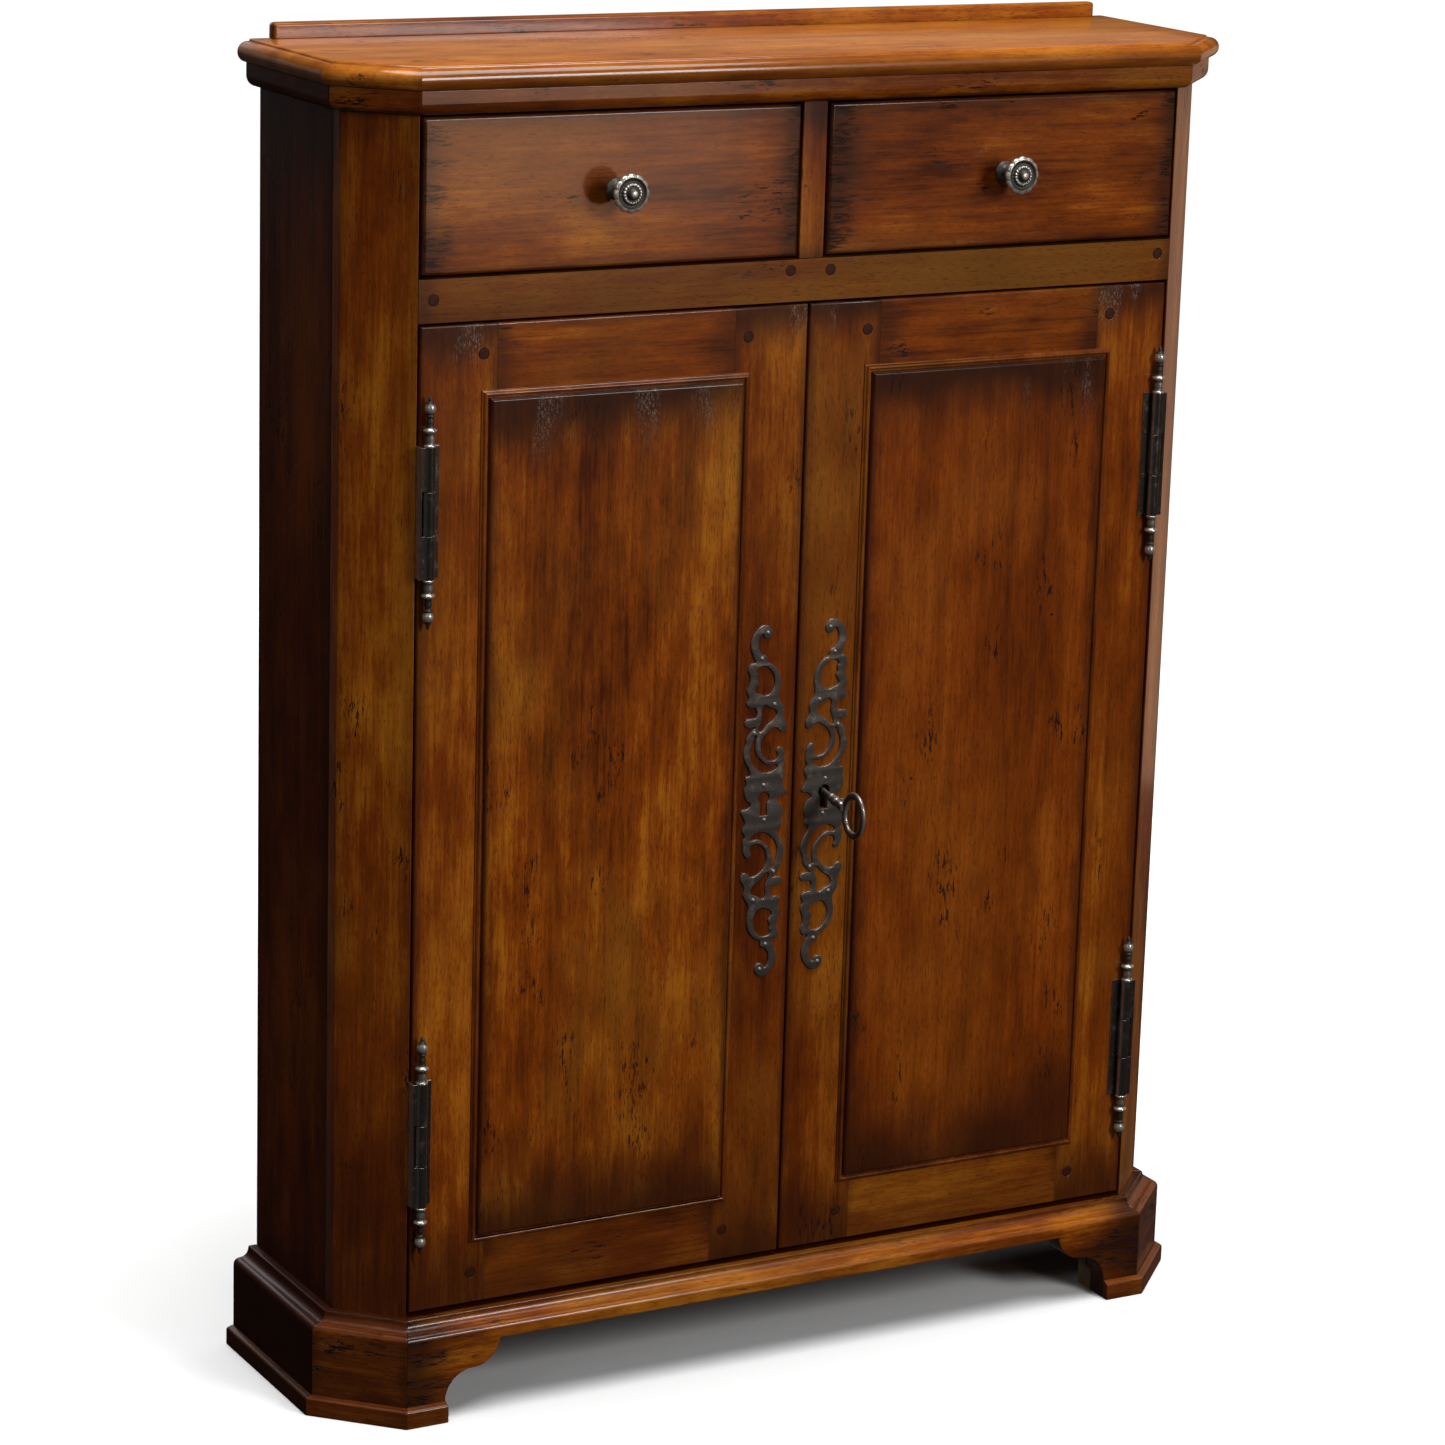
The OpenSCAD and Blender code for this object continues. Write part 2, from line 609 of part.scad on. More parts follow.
// Up the left side from the bite in the middle, round the hook, and down the right side.
HALF_RIM = [
    [-13.2, -0.6], [-17, 3.4], [-19.4, 8], [-20, 12.8], [-18.2, 18.8], [-19, 24.6], [-15, 26.4],
    [-15.2, 30.2], [-20.4, 40.2], [-22, 48.4], [-19.4, 56], [-19.2, 60.4], [-13.6, 68],
    [-11, 70.4], [-16.4, 70.6], [-21.2, 72.8], [-20.8, 77], [-16.2, 78.6], [-10.6, 79.2],
    [-11, 88], [-16.8, 89.2], [-20, 91.6], [-18.2, 98.4], [-20.2, 103.4], [-18.2, 110.4],
    [-17.4, 117.4], [-19.4, 123.6], [-17.2, 128.6], [-12.2, 130.2], [-14.2, 134.6],
    [-17.6, 146.4], [-12.8, 158.2], [-4, 163.2], [2.6, 159.4], [3.6, 154.4], [0.8, 151],
    [-3.6, 151.8], [-5.6, 155.6], [-8.6, 153.6], [-10.2, 146.2], [-6.6, 137.4], [-1.6, 134.6],
    [-0.6, 129.6], [4.4, 127], [10.2, 121], [13.6, 109.8], [12.6, 99.4], [12.4, 95.6],
    [17.8, 85.4], [17.2, 78], [21.2, 68.8], [18.6, 64.2], [14.2, 65.6], [11.4, 68.4],
    [2, 65.4], [-4.6, 57], [-4.6, 49], [-0.6, 41.2], [5.6, 37.8], [11.2, 38.8], [13.2, 43.2],
    [11.6, 47.6], [14.4, 50.2], [18.4, 47.2], [19.6, 40.4], [19.6, 33.4], [18.2, 30.6],
    [20.8, 24.8], [18.4, 17.4], [20.2, 12.4], [22.6, 6.2], [17, 4.6]
];
// The D under the hook, the three-cornered hole and the crescent.
HALF_HOLES = [
    [[-6, 126], [2.4, 123], [7.8, 112.4], [6.2, 103.8], [1.2, 99], [-5.6, 99.8], [-12, 104.4],
     [-8.6, 111.4], [-10.4, 115], [-9.8, 119.6], [-11.6, 122]],
    [[-2.9, 90.1], [3, 87.9], [10.8, 82.7], [8.4, 76.8], [1.4, 71.8], [-5.4, 65.6],
     [-7.4, 66], [-4.8, 78]],
    [[-9.6, 63], [-13.4, 57.2], [-15.6, 49.4], [-14.8, 40.4], [-8.8, 32], [0.1, 27.3],
     [8.8, 28.6], [13, 33.2], [3.8, 34.4], [-4.2, 40.2], [-9.4, 47.4], [-10, 56.2]]
];
HALF_NAILS = [[-0.8, 16.2], [-12, 65.4], [7.9, 90.2], [-6.2, 133.2], [-1, 156.2]];
NAILS = concat(HALF_NAILS, -HALF_NAILS);
nail_r = 0.8;
nail_head_r = 2;
keyhole_r = 6;
keyhole_up = 4.3;

module keyhole() {
    translate([0, keyhole_up]) circle(keyhole_r);
    polygon([[-3.4, 0], [-4.1, -12.5], [4.1, -12.5], [3.4, 0]]);
}
module scroll_plate() difference() {
    polygon(smooth(concat(HALF_RIM, -HALF_RIM)));
    for (hole = HALF_HOLES) {
        polygon(smooth(hole));
        polygon(smooth(-hole));
    }
    keyhole();
    for (p = NAILS) translate(p) circle(nail_r + running);
}
module escutcheon() translate([-escutcheon_x, 0, escutcheon_z]) rotate([90, 0, 0])
    linear_extrude(height = plate_t) scroll_plate();
module escutcheon_nails() translate([-escutcheon_x, 0, escutcheon_z])
    for (p = NAILS) turned(p.x, p.y,
        [[0, 0], [nail_r, 0], [nail_r, plate_t], [nail_head_r, plate_t],
         [nail_head_r - 0.7, plate_t + 1], [0, plate_t + 1.3]]);

// ---- Lock, key and door bolt ----

key_z = escutcheon_z + keyhole_up;
case_y0 = 9;
case_z0 = key_z - 30;
case_z1 = key_z + 32;
lock_w = 52;
wall = 1.5;
bolt_z0 = key_z + 16;
bolt_h = 10;
lock_bolt_y0 = 12;
lock_bolt_t = 7;
lock_bolt_l = 38;
shank_r = 2.6;
module lock_body(out) box(-door_x1 - out, -door_x1 + lock_w, case_y0, door_t + out, case_z0, case_z1);
module key_way() translate([escutcheon_x, -1, escutcheon_z]) rotate([90, 0, 0]) mirror([0, 0, 1])
    linear_extrude(height = case_y0 + wall + 1.5) keyhole();
module lock_case() color(iron) at_front() difference() {
    lock_body(0);
    box(-door_x1 + wall, -door_x1 + lock_w - wall, case_y0 + wall, door_t - wall,
        case_z0 + wall, case_z1 - wall);
    key_way();
    box(-door_x1 - 1, 10, lock_bolt_y0 - play, lock_bolt_y0 + lock_bolt_t + play, bolt_z0 - play,
        bolt_z0 + bolt_h + play);
}
module lock_bolt() color(iron) at_front() box(-door_x1 + 0.2, -door_x1 + lock_bolt_l, lock_bolt_y0,
    lock_bolt_y0 + lock_bolt_t, bolt_z0, bolt_z0 + bolt_h);

bow_h = 44;
bow_w = 38;
bow_t = 5.2;
bow_rim = 5;
bow_mid = (key_reach - (bow_h - bow_w) / 2 * sin(key_droop) - bow_w / 2) / cos(key_droop);
// A ring stretched along x: a stadium of half-width r whose straight part is as long as s.
module stadium(r, s) union() {
    for (side = [-1, 1]) translate([side * s / 2, 0]) circle(r);
    square([s, 2 * r], center = true);
}
// The key lies along -Y from the keyhole; its bow is a ring that stands on edge.
module key_shape() {
    rotate([90, 0, 0]) rotate_extrude() polygon([[0, -17], [shank_r, -17], [shank_r, 14],
        [4.2, 15], [4.2, 17.5], [3, 18.5], [3, 20.5], [4.6, 21.5], [4.6, 24.5], [3, 26],
        [3, 29], [4, 30.5], [4, 33.5], [2.6, 36], [2.6, 39.5], [0, 39.5]]);
    translate([-1, case_y0 + wall + 2.5, -11]) cube([2, 4.5, 10]);
    translate([-bow_t / 2, -bow_mid, 0]) rotate([0, 90, 0]) linear_extrude(height = bow_t)
        difference() {
            stadium(bow_w / 2, bow_h - bow_w);
            stadium(bow_w / 2 - bow_rim, bow_h - bow_w);
        }
}
module key() color(iron) at_front() translate([escutcheon_x, 0, key_z]) rotate([key_droop, 0, 0])
    key_shape();

bolt_z = 918;
bolt_l = 58;
bolt_plate_w = 20;
bolt_plate_h = 57;
bolt_plate_t = 1.5;
staple_w = 12;
staple_h = 8;
module door_bolt_plate() color(iron) at_front() {
    box(bolt_x - bolt_plate_w / 2, bolt_x + bolt_plate_w / 2, door_t, door_t + bolt_plate_t,
        bolt_z - 3, bolt_z - 3 + bolt_plate_h);
    for (z = [bolt_z + 6, bolt_z + 40]) difference() {
        box(bolt_x - staple_w / 2, bolt_x + staple_w / 2, door_t + bolt_plate_t,
            bolt_y + bolt_r + 2, z, z + staple_h);
        translate([bolt_x, bolt_y, z - 1]) cylinder(r = bolt_r + running, h = staple_h + 2);
    }
}
// The bolt's round bar and the stub that it is pushed by.
module door_bolt() color(iron) at_front() union() {
    translate([bolt_x, bolt_y, bolt_z]) cylinder(r = bolt_r, h = bolt_l);
    translate([bolt_x, bolt_y, bolt_z + 22]) rotate([-90, 0, 0]) cylinder(r = 2, h = 9);
}

module left_hinge_stile() color(walnut) at_front() hinge_stile();
module left_lock_stile() color(walnut) at_front() difference() {
    lock_stile();
    box(door_x1 - bolt_throw - 3, door_x1 + 1, lock_bolt_y0 - 1, lock_bolt_y0 + lock_bolt_t + 1,
        bolt_z0 - 1, bolt_z0 + bolt_h + 1);
}
module left_door_rails() color(walnut) at_front() door_rails();
module left_door_panel() color(walnut) at_front() door_panel();
module left_panel_moulding() color(dark_walnut) at_front() panel_moulding();
module left_door_pegs() color(dark_walnut) at_front() door_pegs();
module left_escutcheon() color(iron) at_front() escutcheon();
module left_escutcheon_nails() color(pewter) at_front() escutcheon_nails();
module right_hinge_stile() color(walnut) at_front() mirror([1, 0, 0]) hinge_stile();
module right_lock_stile() color(walnut) at_front() difference() {
    mirror([1, 0, 0]) lock_stile();
    lock_body(1);
    key_way();
}
module right_door_rails() color(walnut) at_front() mirror([1, 0, 0]) door_rails();
module right_door_panel() color(walnut) at_front() mirror([1, 0, 0]) door_panel();
module right_panel_moulding() color(dark_walnut) at_front() mirror([1, 0, 0]) panel_moulding();
module right_door_pegs() color(dark_walnut) at_front() mirror([1, 0, 0]) door_pegs();
module right_escutcheon() color(iron) at_front() mirror([1, 0, 0]) escutcheon();
module right_escutcheon_nails() color(pewter) at_front() mirror([1, 0, 0]) escutcheon_nails();

left_side_panel();
right_side_panel();
left_corner_post();
right_corner_post();
top_board();
gallery_rail();
bed_moulding();
top_rail();
drawer_rail();
drawer_divider();
rail_pegs();
bottom_board();
back_panel();
shelf();
shelf_bearers();
drawer_runners();
plinth_front();
plinth_cants();
left_plinth_side();
right_plinth_side();
plinth_back();
shoe_strips();
foot_blocks();
frame_hinge_leaves();
hinge_pins();
left_drawer_front();
left_drawer_sides();
left_drawer_back();
left_drawer_bottom();
left_knob();
left_knob_screw();
right_drawer_front();
right_drawer_sides();
right_drawer_back();
right_drawer_bottom();
right_knob();
right_knob_screw();
left_hinge_stile();
left_lock_stile();
left_door_rails();
left_door_panel();
left_panel_moulding();
left_door_pegs();
left_door_leaves();
left_escutcheon();
left_escutcheon_nails();
door_bolt_plate();
door_bolt();
right_hinge_stile();
right_lock_stile();
right_door_rails();
right_door_panel();
right_panel_moulding();
right_door_pegs();
right_door_leaves();
right_escutcheon();
right_escutcheon_nails();
lock_case();
lock_bolt();
key();
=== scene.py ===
import json
from itertools import count
from math import cos, pi, radians, sin, sqrt, tan

import bmesh
import bpy
from mathutils import Matrix, Vector


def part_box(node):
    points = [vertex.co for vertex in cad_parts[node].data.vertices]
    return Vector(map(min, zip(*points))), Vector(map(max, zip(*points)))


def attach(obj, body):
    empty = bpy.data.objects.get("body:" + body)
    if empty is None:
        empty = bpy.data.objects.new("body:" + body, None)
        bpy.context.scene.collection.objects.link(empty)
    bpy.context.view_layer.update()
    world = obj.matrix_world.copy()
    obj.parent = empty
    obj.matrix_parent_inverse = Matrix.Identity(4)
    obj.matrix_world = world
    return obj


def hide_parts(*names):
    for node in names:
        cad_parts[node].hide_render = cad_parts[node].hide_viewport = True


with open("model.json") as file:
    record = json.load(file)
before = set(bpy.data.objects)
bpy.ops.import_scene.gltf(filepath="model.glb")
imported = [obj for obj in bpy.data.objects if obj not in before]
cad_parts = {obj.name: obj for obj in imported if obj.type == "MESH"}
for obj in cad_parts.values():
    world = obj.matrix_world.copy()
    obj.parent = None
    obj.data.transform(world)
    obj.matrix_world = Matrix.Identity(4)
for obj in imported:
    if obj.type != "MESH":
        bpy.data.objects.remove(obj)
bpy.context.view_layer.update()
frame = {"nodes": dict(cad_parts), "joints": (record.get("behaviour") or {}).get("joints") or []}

mm = 0.001
nearly = 1e-5      # metres, for telling edges and faces apart

# The case in plan, read from the frame: every moulding is swept round this outline.
railLow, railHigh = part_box("top_rail")
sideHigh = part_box("right_side_panel")[1]
plan = {
    "front": railLow.y,
    "back": sideHigh.y,
    "halfFace": railHigh.x,
    "halfWidth": sideHigh.x,
}
plan["cant"] = plan["halfWidth"] - plan["halfFace"]


def outline(out):
    # Plan corners of the case moved outwards by out; the back edge stays flush.
    k = out * tan(radians(22.5))
    f, w, y, c, b = plan["halfFace"], plan["halfWidth"], plan["front"], plan["cant"], plan["back"]
    return [Vector(p) for p in (
        (-w - out, b), (-w - out, y + c - k), (-f - k, y - out),
        (f + k, y - out), (w + out, y + c - k), (w + out, b))]


class Wire:
    # One output socket of a node tree, with arithmetic that adds the nodes it needs.
    def __init__(self, paint, socket):
        self.paint = paint
        self.socket = socket

    def isVector(self):
        return self.socket.type in ("VECTOR", "RGBA")

    def math(self, operation, *others, clamp=False):
        vector = self.isVector() or any(isinstance(o, (tuple, Vector)) or
                                        (isinstance(o, Wire) and o.isVector()) for o in others)
        if vector:
            return self.paint.node("ShaderNodeVectorMath", {"operation": operation}, [self, *others])
        return self.paint.node("ShaderNodeMath", {"operation": operation, "use_clamp": clamp},
                               [self, *others])

    def __add__(self, o):
        return self.math("ADD", o)

    def __radd__(self, o):
        return self.math("ADD", o)

    def __sub__(self, o):
        return self.math("SUBTRACT", o)

    def __rsub__(self, o):
        return self.paint.constantFirst("SUBTRACT", o, self)

    def __mul__(self, o):
        return self.math("MULTIPLY", o)

    def __rmul__(self, o):
        return self.math("MULTIPLY", o)

    def __truediv__(self, o):
        return self.math("DIVIDE", o)

    def __rtruediv__(self, o):
        return self.paint.constantFirst("DIVIDE", o, self)

    def __abs__(self):
        return self.math("ABSOLUTE")

    def atLeast(self, o):
        return self.math("MAXIMUM", o)

    def atMost(self, o):
        return self.math("MINIMUM", o)

    def clamped(self):
        return self.math("ADD", 0.0, clamp=True)

    def step(self, low, high):
        # 0 below low, 1 above high, smooth between.
        return self.paint.node("ShaderNodeMapRange", {"interpolation_type": "SMOOTHSTEP"},
                               {"Value": self, "From Min": low, "From Max": high})

    def part(self, axis):
        return self.paint.node("ShaderNodeSeparateXYZ", {}, [self], out="XYZ".index(axis))


class Paint:
    def __init__(self, name):
        self.material = bpy.data.materials.new(name)
        self.material.use_nodes = True
        self.tree = self.material.node_tree
        self.tree.nodes.clear()

    def node(self, kind, settings=None, values=None, out=0):
        made = self.tree.nodes.new(kind)
        for key, value in (settings or {}).items():
            if key == "stops":
                ramp = made.color_ramp
                while len(ramp.elements) < len(value):
                    ramp.elements.new(0.5)
                for element, (at, colour) in zip(ramp.elements, value):
                    element.position = at
                    element.color = (*colour, 1)
            else:
                setattr(made, key, value)
        pairs = (values or {}).items() if isinstance(values, dict) else enumerate(values or [])
        for key, value in pairs:
            if isinstance(value, Wire):
                self.tree.links.new(value.socket, made.inputs[key])
            elif made.inputs[key].type == "RGBA" and len(value) == 3:
                made.inputs[key].default_value = (*value, 1)
            elif made.inputs[key].type == "VECTOR" and not isinstance(value, (tuple, list, Vector)):
                made.inputs[key].default_value = (value, value, value)
            else:
                made.inputs[key].default_value = value
        return Wire(self, made.outputs[out])

    def constantFirst(self, operation, number, wire):
        kind = "ShaderNodeVectorMath" if wire.isVector() else "ShaderNodeMath"
        return self.node(kind, {"operation": operation}, [number, wire])

    def place(self, out="Object"):
        return self.node("ShaderNodeTexCoord", out={"Normal": 1, "Object": 3}[out])

    def mapped(self, vector, scale, shift):
        return self.node("ShaderNodeMapping", {}, {"Vector": vector, "Scale": scale,
                                                   "Location": shift})

    def noise(self, vector, scale, detail=3.0, roughness=0.5, distortion=0.0):
        return self.node("ShaderNodeTexNoise", {}, {"Vector": vector, "Scale": scale, "Detail": detail,
                                                    "Roughness": roughness, "Distortion": distortion})

    def spots(self, vector, scale):
        return self.node("ShaderNodeTexVoronoi", {}, {"Vector": vector, "Scale": scale})

    def blend(self, share, a, b):
        mix = self.tree.nodes.new("ShaderNodeMix")
        mix.data_type = "RGBA"
        for socket, value in ((mix.inputs[0], share), (mix.inputs[6], a), (mix.inputs[7], b)):
            if isinstance(value, Wire):
                self.tree.links.new(value.socket, socket)
            elif isinstance(value, (tuple, list)):
                socket.default_value = (*value[:3], 1)
            else:
                socket.default_value = value
        return Wire(self, mix.outputs[2])

    def ramp(self, value, stops):
        return self.node("ShaderNodeValToRGB", {"stops": stops}, [value])

    def finish(self, colour, roughness, height=None, metallic=0.0, fixed=None):
        shader = self.tree.nodes.new("ShaderNodeBsdfPrincipled")
        for key, value in {"Base Color": colour, "Roughness": roughness, "Metallic": metallic,
                           **(fixed or {})}.items():
            if isinstance(value, Wire):
                self.tree.links.new(value.socket, shader.inputs[key])
            else:
                shader.inputs[key].default_value = value
        if height is not None:      # height is in millimetres
            bump = self.node("ShaderNodeBump", {}, {"Strength": 1.0, "Distance": mm, "Height": height})
            self.tree.links.new(bump.socket, shader.inputs["Normal"])
        output = self.tree.nodes.new("ShaderNodeOutputMaterial")
        self.tree.links.new(shader.outputs[0], output.inputs[0])
        return self.material


walnutLook = {
    "dark": (0.070, 0.0115, 0.0007),
    "mid": (0.250, 0.050, 0.0018),
    "light": (0.54, 0.175, 0.010),
    "burnt": (0.022, 0.0052, 0.0014),
    "gold": (0.34, 0.138, 0.010),
    "crack": (0.006, 0.002, 0.001),
    "check": (0.22, 0.175, 0.145),
    "figure": 1.0,        # contrast of the broad figure
    "streak": 1.0,        # strength of the fine dark streaks
    "fleck": 1.0,         # density of short dark marks
    "golden": 0.35,       # share of the pale golden cast
    "rough": 0.32,
    "coat": 0.45,
    "coatRough": 0.12,
    "gloss": 0.14,
    "wave": 0.16,         # height of the hand-planed waves, mm
    "peel": 0.025,        # height of the lacquer's fine unevenness, mm
    "thin": 0.03,         # a board thinner than this, in metres, has no shading across it
    "edge": 0.55,         # general darkening at the piece's own edges
    "edgeReach": 0.022,
    "burns": (),          # extra dark ends: (side, reach, strength)
    "checks": (),         # pale end-grain checks: (side, reach)
    "cracks": (),         # dark cracks that start at an end: (side, reach)
    "canted": False,      # the grain follows a face at 45 degrees to X
    "boards": None,       # width of the upright boards that it is joined from
}
seeds = count(1)
seedStep = 3.713
boardShift = (0.37, 1.9)      # across and along the grain, per board


def walnut(name, grain, low, high, **changes):
    # Lacquered walnut for one piece: grain is its axis letter, low and high its box.
    look = {**walnutLook, **changes}
    seed = next(seeds) * seedStep
    p = Paint(name)
    place = p.place()
    flow = place
    if look["canted"]:
        x, y = abs(place.part("X")), place.part("Y")
        flow = p.node("ShaderNodeCombineXYZ", {},
                      [(x + y) * sqrt(0.5), (y - x) * sqrt(0.5), place.part("Z")])
    if look["boards"]:
        number = (place.part("X") / look["boards"]).math("FLOOR")
        flow = place + p.node("ShaderNodeCombineXYZ", {}, [
            number * boardShift[0], 0.0, number * boardShift[1]])
    along = "XYZ".index(grain)

    def stretched(across, lengthwise, offset=0.0):
        scale = [across] * 3
        scale[along] = lengthwise
        return p.mapped(flow, tuple(scale), (seed + offset, seed * 0.37 + offset, -seed * 0.71))

    bend = p.noise(stretched(3.5, 1.1), 1.0, 2.0)
    broad = p.noise(stretched(10, 1.4, 3.1), 1.0, 3.0, 0.55, 0.9)
    bands = p.noise(stretched(55, 3.2, 7.7), 1.0, 4.0, 0.62, 0.8)
    fibre = p.noise(stretched(330, 16, 1.3), 1.0, 3.0, 0.65)
    pores = p.noise(stretched(1050, 130, 5.9), 1.0, 2.0, 0.55)
    cloud = p.noise(stretched(6.5, 3.6, 9.1), 1.0, 3.0, 0.6)
    mottle = p.noise(stretched(38, 17, 11.7), 1.0, 4.0, 0.65)
    figure = bend * 0.5 + broad * 0.9 + bands * 0.6 + mottle * 0.7 - 1.35
    tone = 0.5 + figure * look["figure"] + (cloud - 0.5) * 0.6 + (fibre - 0.5) * 0.6 * look["streak"]
    colour = p.ramp(tone.clamped(), [(0.14, look["dark"]), (0.5, look["mid"]), (0.88, look["light"])])
    gold = (cloud.step(0.45, 0.72) * look["golden"]).clamped()
    colour = p.blend(gold, colour, look["gold"])
    dash = pores.step(0.56, 0.66)
    streak = dash * 0.55 * look["streak"] + fibre.step(0.60, 0.76) * 0.35
    colour = p.blend(streak.clamped(), colour, look["dark"])

    # Short dark marks along the grain, and round worm holes.
    mark = p.noise(stretched(320, 55, 13.3), 1.0, 3.0, 0.75).step(0.55, 0.61)
    cluster = p.noise(stretched(26, 12, 17.9), 1.0, 1.0).step(0.625, 0.685)
    hole = 1.0 - p.spots(place, 26).step(0.035, 0.055)
    keep = p.noise(stretched(11, 11, 21.1), 1.0, 1.0).step(0.60, 0.64)
    scar = ((mark * cluster).atLeast(hole * keep) * 0.9 * look["fleck"]).clamped()

    # How far each point lies from the sides of the piece's box.
    gaps = {}
    burn = None
    for i, axis in enumerate("XYZ"):
        at = place.part(axis)
        gaps["-" + axis] = at - low[i]
        gaps["+" + axis] = high[i] - at
        if high[i] - low[i] > look["thin"]:
            near = 1.0 - gaps["-" + axis].atMost(gaps["+" + axis]).step(0.0, look["edgeReach"])
            near = near * near * look["edge"]
            burn = near if burn is None else burn.atLeast(near)
    for side, reach, strength in look["burns"]:
        near = 1.0 - ((gaps[side] + (cloud - 0.5) * reach * 1.4 + (mottle - 0.5) * 0.02)
                      / reach).step(0.0, 1.0)
        burn = burn.atLeast(near * near * strength)
    burn = (burn * (0.35 + cloud * 0.8 + mottle * 0.5)).clamped()
    colour = p.blend(burn, colour, look["burnt"])
    for side, reach in look["cracks"]:
        split = p.noise(stretched(430, 62, 27.1), 1.0, 4.0, 0.75).step(0.50, 0.555)
        group = p.noise(stretched(48, 8, 35.1), 1.0, 1.0).step(0.45, 0.52)
        near = 1.0 - ((gaps[side] + (mottle - 0.5) * reach) / reach).step(0.25, 0.95)
        scar = scar.atLeast(split * group * near * 0.95)
    colour = p.blend(scar, colour, look["crack"])
    for side, reach in look["checks"]:
        split = p.noise(stretched(620, 190, 29.7), 1.0, 5.0, 0.85).step(0.525, 0.575)
        group = p.noise(stretched(26, 5, 33.3), 1.0, 2.0).step(0.54, 0.63)
        near = 1.0 - ((gaps[side] + (mottle - 0.5) * reach) / reach).step(0.1, 0.9)
        colour = p.blend((split * group * near * 0.75).clamped(), colour, look["check"])

    rough = (look["rough"] + (cloud - 0.5) * 0.18 + (pores - 0.5) * 0.12 + scar * 0.25 + burn * 0.06)
    waves = p.noise(stretched(16, 5, 31.0), 1.0, 2.0)
    peel = p.noise(place, 380, 2.0)
    height = (waves * look["wave"] - dash * 0.02 - scar * 0.25 + fibre * 0.03 + mottle * 0.05
              + peel * look["peel"])
    return p.finish(colour, rough.clamped(), height,
                    fixed={"Coat Weight": look["coat"], "Coat Roughness": look["coatRough"],
                           "Specular IOR Level": look["gloss"]})


# Painted shade: a darker, duller copy of the walnut whose colours stand in for shade. It paints the left
# side panel, the sides of the bed moulding and the inside boards, and with still darker colours the left
# plinth side and the left shoe.
shadeLook = {
    "dark": (0.020, 0.0032, 0.0004), "mid": (0.080, 0.0125, 0.0008), "light": (0.17, 0.032, 0.002),
    "golden": 0.05, "coat": 0.05, "gloss": 0.06, "rough": 0.5,
}
plainLook = {
    "dark": (0.16, 0.085, 0.040), "mid": (0.30, 0.18, 0.095), "light": (0.42, 0.27, 0.15),
    "burnt": (0.08, 0.045, 0.025), "golden": 0.0, "coat": 0.0, "gloss": 0.3, "rough": 0.6,
    "edge": 0.25, "wave": 0.05,
}


def ironPaint(name, base=(0.085, 0.078, 0.072), bright=(0.42, 0.40, 0.37), rim=0.8, rust=0.25,
              rough=0.42, face="Y", metallic=0.6):
    # Dark burnished iron, rubbed brighter where the surface turns away from its face.
    p = Paint(name)
    place = p.place()
    grime = p.noise(place, 90, 4.0, 0.65)
    fine = p.noise(place, 900, 3.0, 0.6)
    turn = 1.0 - abs(p.place("Normal").part(face))
    worn = (turn.step(0.12, 0.75) * rim * (0.35 + grime * 1.3)).clamped()
    rubbed = (grime.step(0.52, 0.75) * 0.35).clamped()
    colour = p.blend(worn.atLeast(rubbed), base, bright)
    colour = p.blend((p.noise(place, 210, 3.0).step(0.58, 0.74) * rust).clamped(), colour,
                     (0.055, 0.026, 0.014))
    roughness = rough + (fine - 0.5) * 0.25 - worn * 0.12
    return p.finish(colour, roughness.clamped(), grime * 0.12 + fine * 0.03, metallic)


def turnedMetal(name, base, bright, rough=0.3):
    # Cast metal, dark in its hollows and rubbed bright on its ridges: the shape has a "ridge" attribute.
    p = Paint(name)
    place = p.place()
    grime = p.noise(place, 260, 4.0, 0.65)
    ridge = p.node("ShaderNodeAttribute", {"attribute_name": "ridge"}, out=2)
    share = (ridge * 1.05 - 0.15 + (grime - 0.5) * 0.7).clamped()
    colour = p.blend(share, base, bright)
    roughness = (rough + 0.30 - share * 0.30 + (grime - 0.5) * 0.2).clamped()
    return p.finish(colour, roughness, grime * 0.10, 0.7)


def place(name, bm, body, nodes, slot, material, soften=None, angle=30):
    # Closes a bmesh into a piece that rides on body and stands for CAD nodes.
    bmesh.ops.remove_doubles(bm, verts=bm.verts, dist=1e-6)
    bmesh.ops.recalc_face_normals(bm, faces=bm.faces)
    mesh = bpy.data.meshes.new(name)
    bm.to_mesh(mesh)
    bm.free()
    mesh.materials.append(material)
    for polygon in mesh.polygons:
        polygon.use_smooth = True
    piece = bpy.data.objects.new(name, mesh)
    bpy.context.scene.collection.objects.link(piece)
    if soften:
        bevel = piece.modifiers.new("arris", "BEVEL")
        bevel.width = soften
        bevel.segments = 3
        bevel.limit_method = "ANGLE"
        bevel.angle_limit = radians(angle)
        bevel.use_clamp_overlap = True
        facets = piece.modifiers.new("facets", "WEIGHTED_NORMAL")
        facets.weight = 90
        facets.keep_sharp = True
    else:
        mesh.set_sharp_from_angle(angle=radians(angle))
    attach(piece, body)
    if nodes:
        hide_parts(*nodes)
    return piece


def joined(bm, other):
    # Moves what another bmesh holds into bm.
    mesh = bpy.data.meshes.new("joined")
    other.to_mesh(mesh)
    other.free()
    bm.from_mesh(mesh)
    bpy.data.meshes.remove(mesh)


def boxMesh(bm, low, high):
    size = high - low
    made = bmesh.ops.create_cube(bm, size=1.0)["verts"]
    bmesh.ops.transform(bm, verts=made, matrix=Matrix.Translation((low + high) / 2)
                        @ Matrix.Diagonal((*size, 1)))


def roundEdges(bm, width, test, segments=4):
    chosen = [e for e in bm.edges if test(e)]
    bmesh.ops.bevel(bm, geom=chosen, offset=width, offset_type="OFFSET", affect="EDGES",
                    segments=segments, profile=0.5, material=-1, clamp_overlap=True)


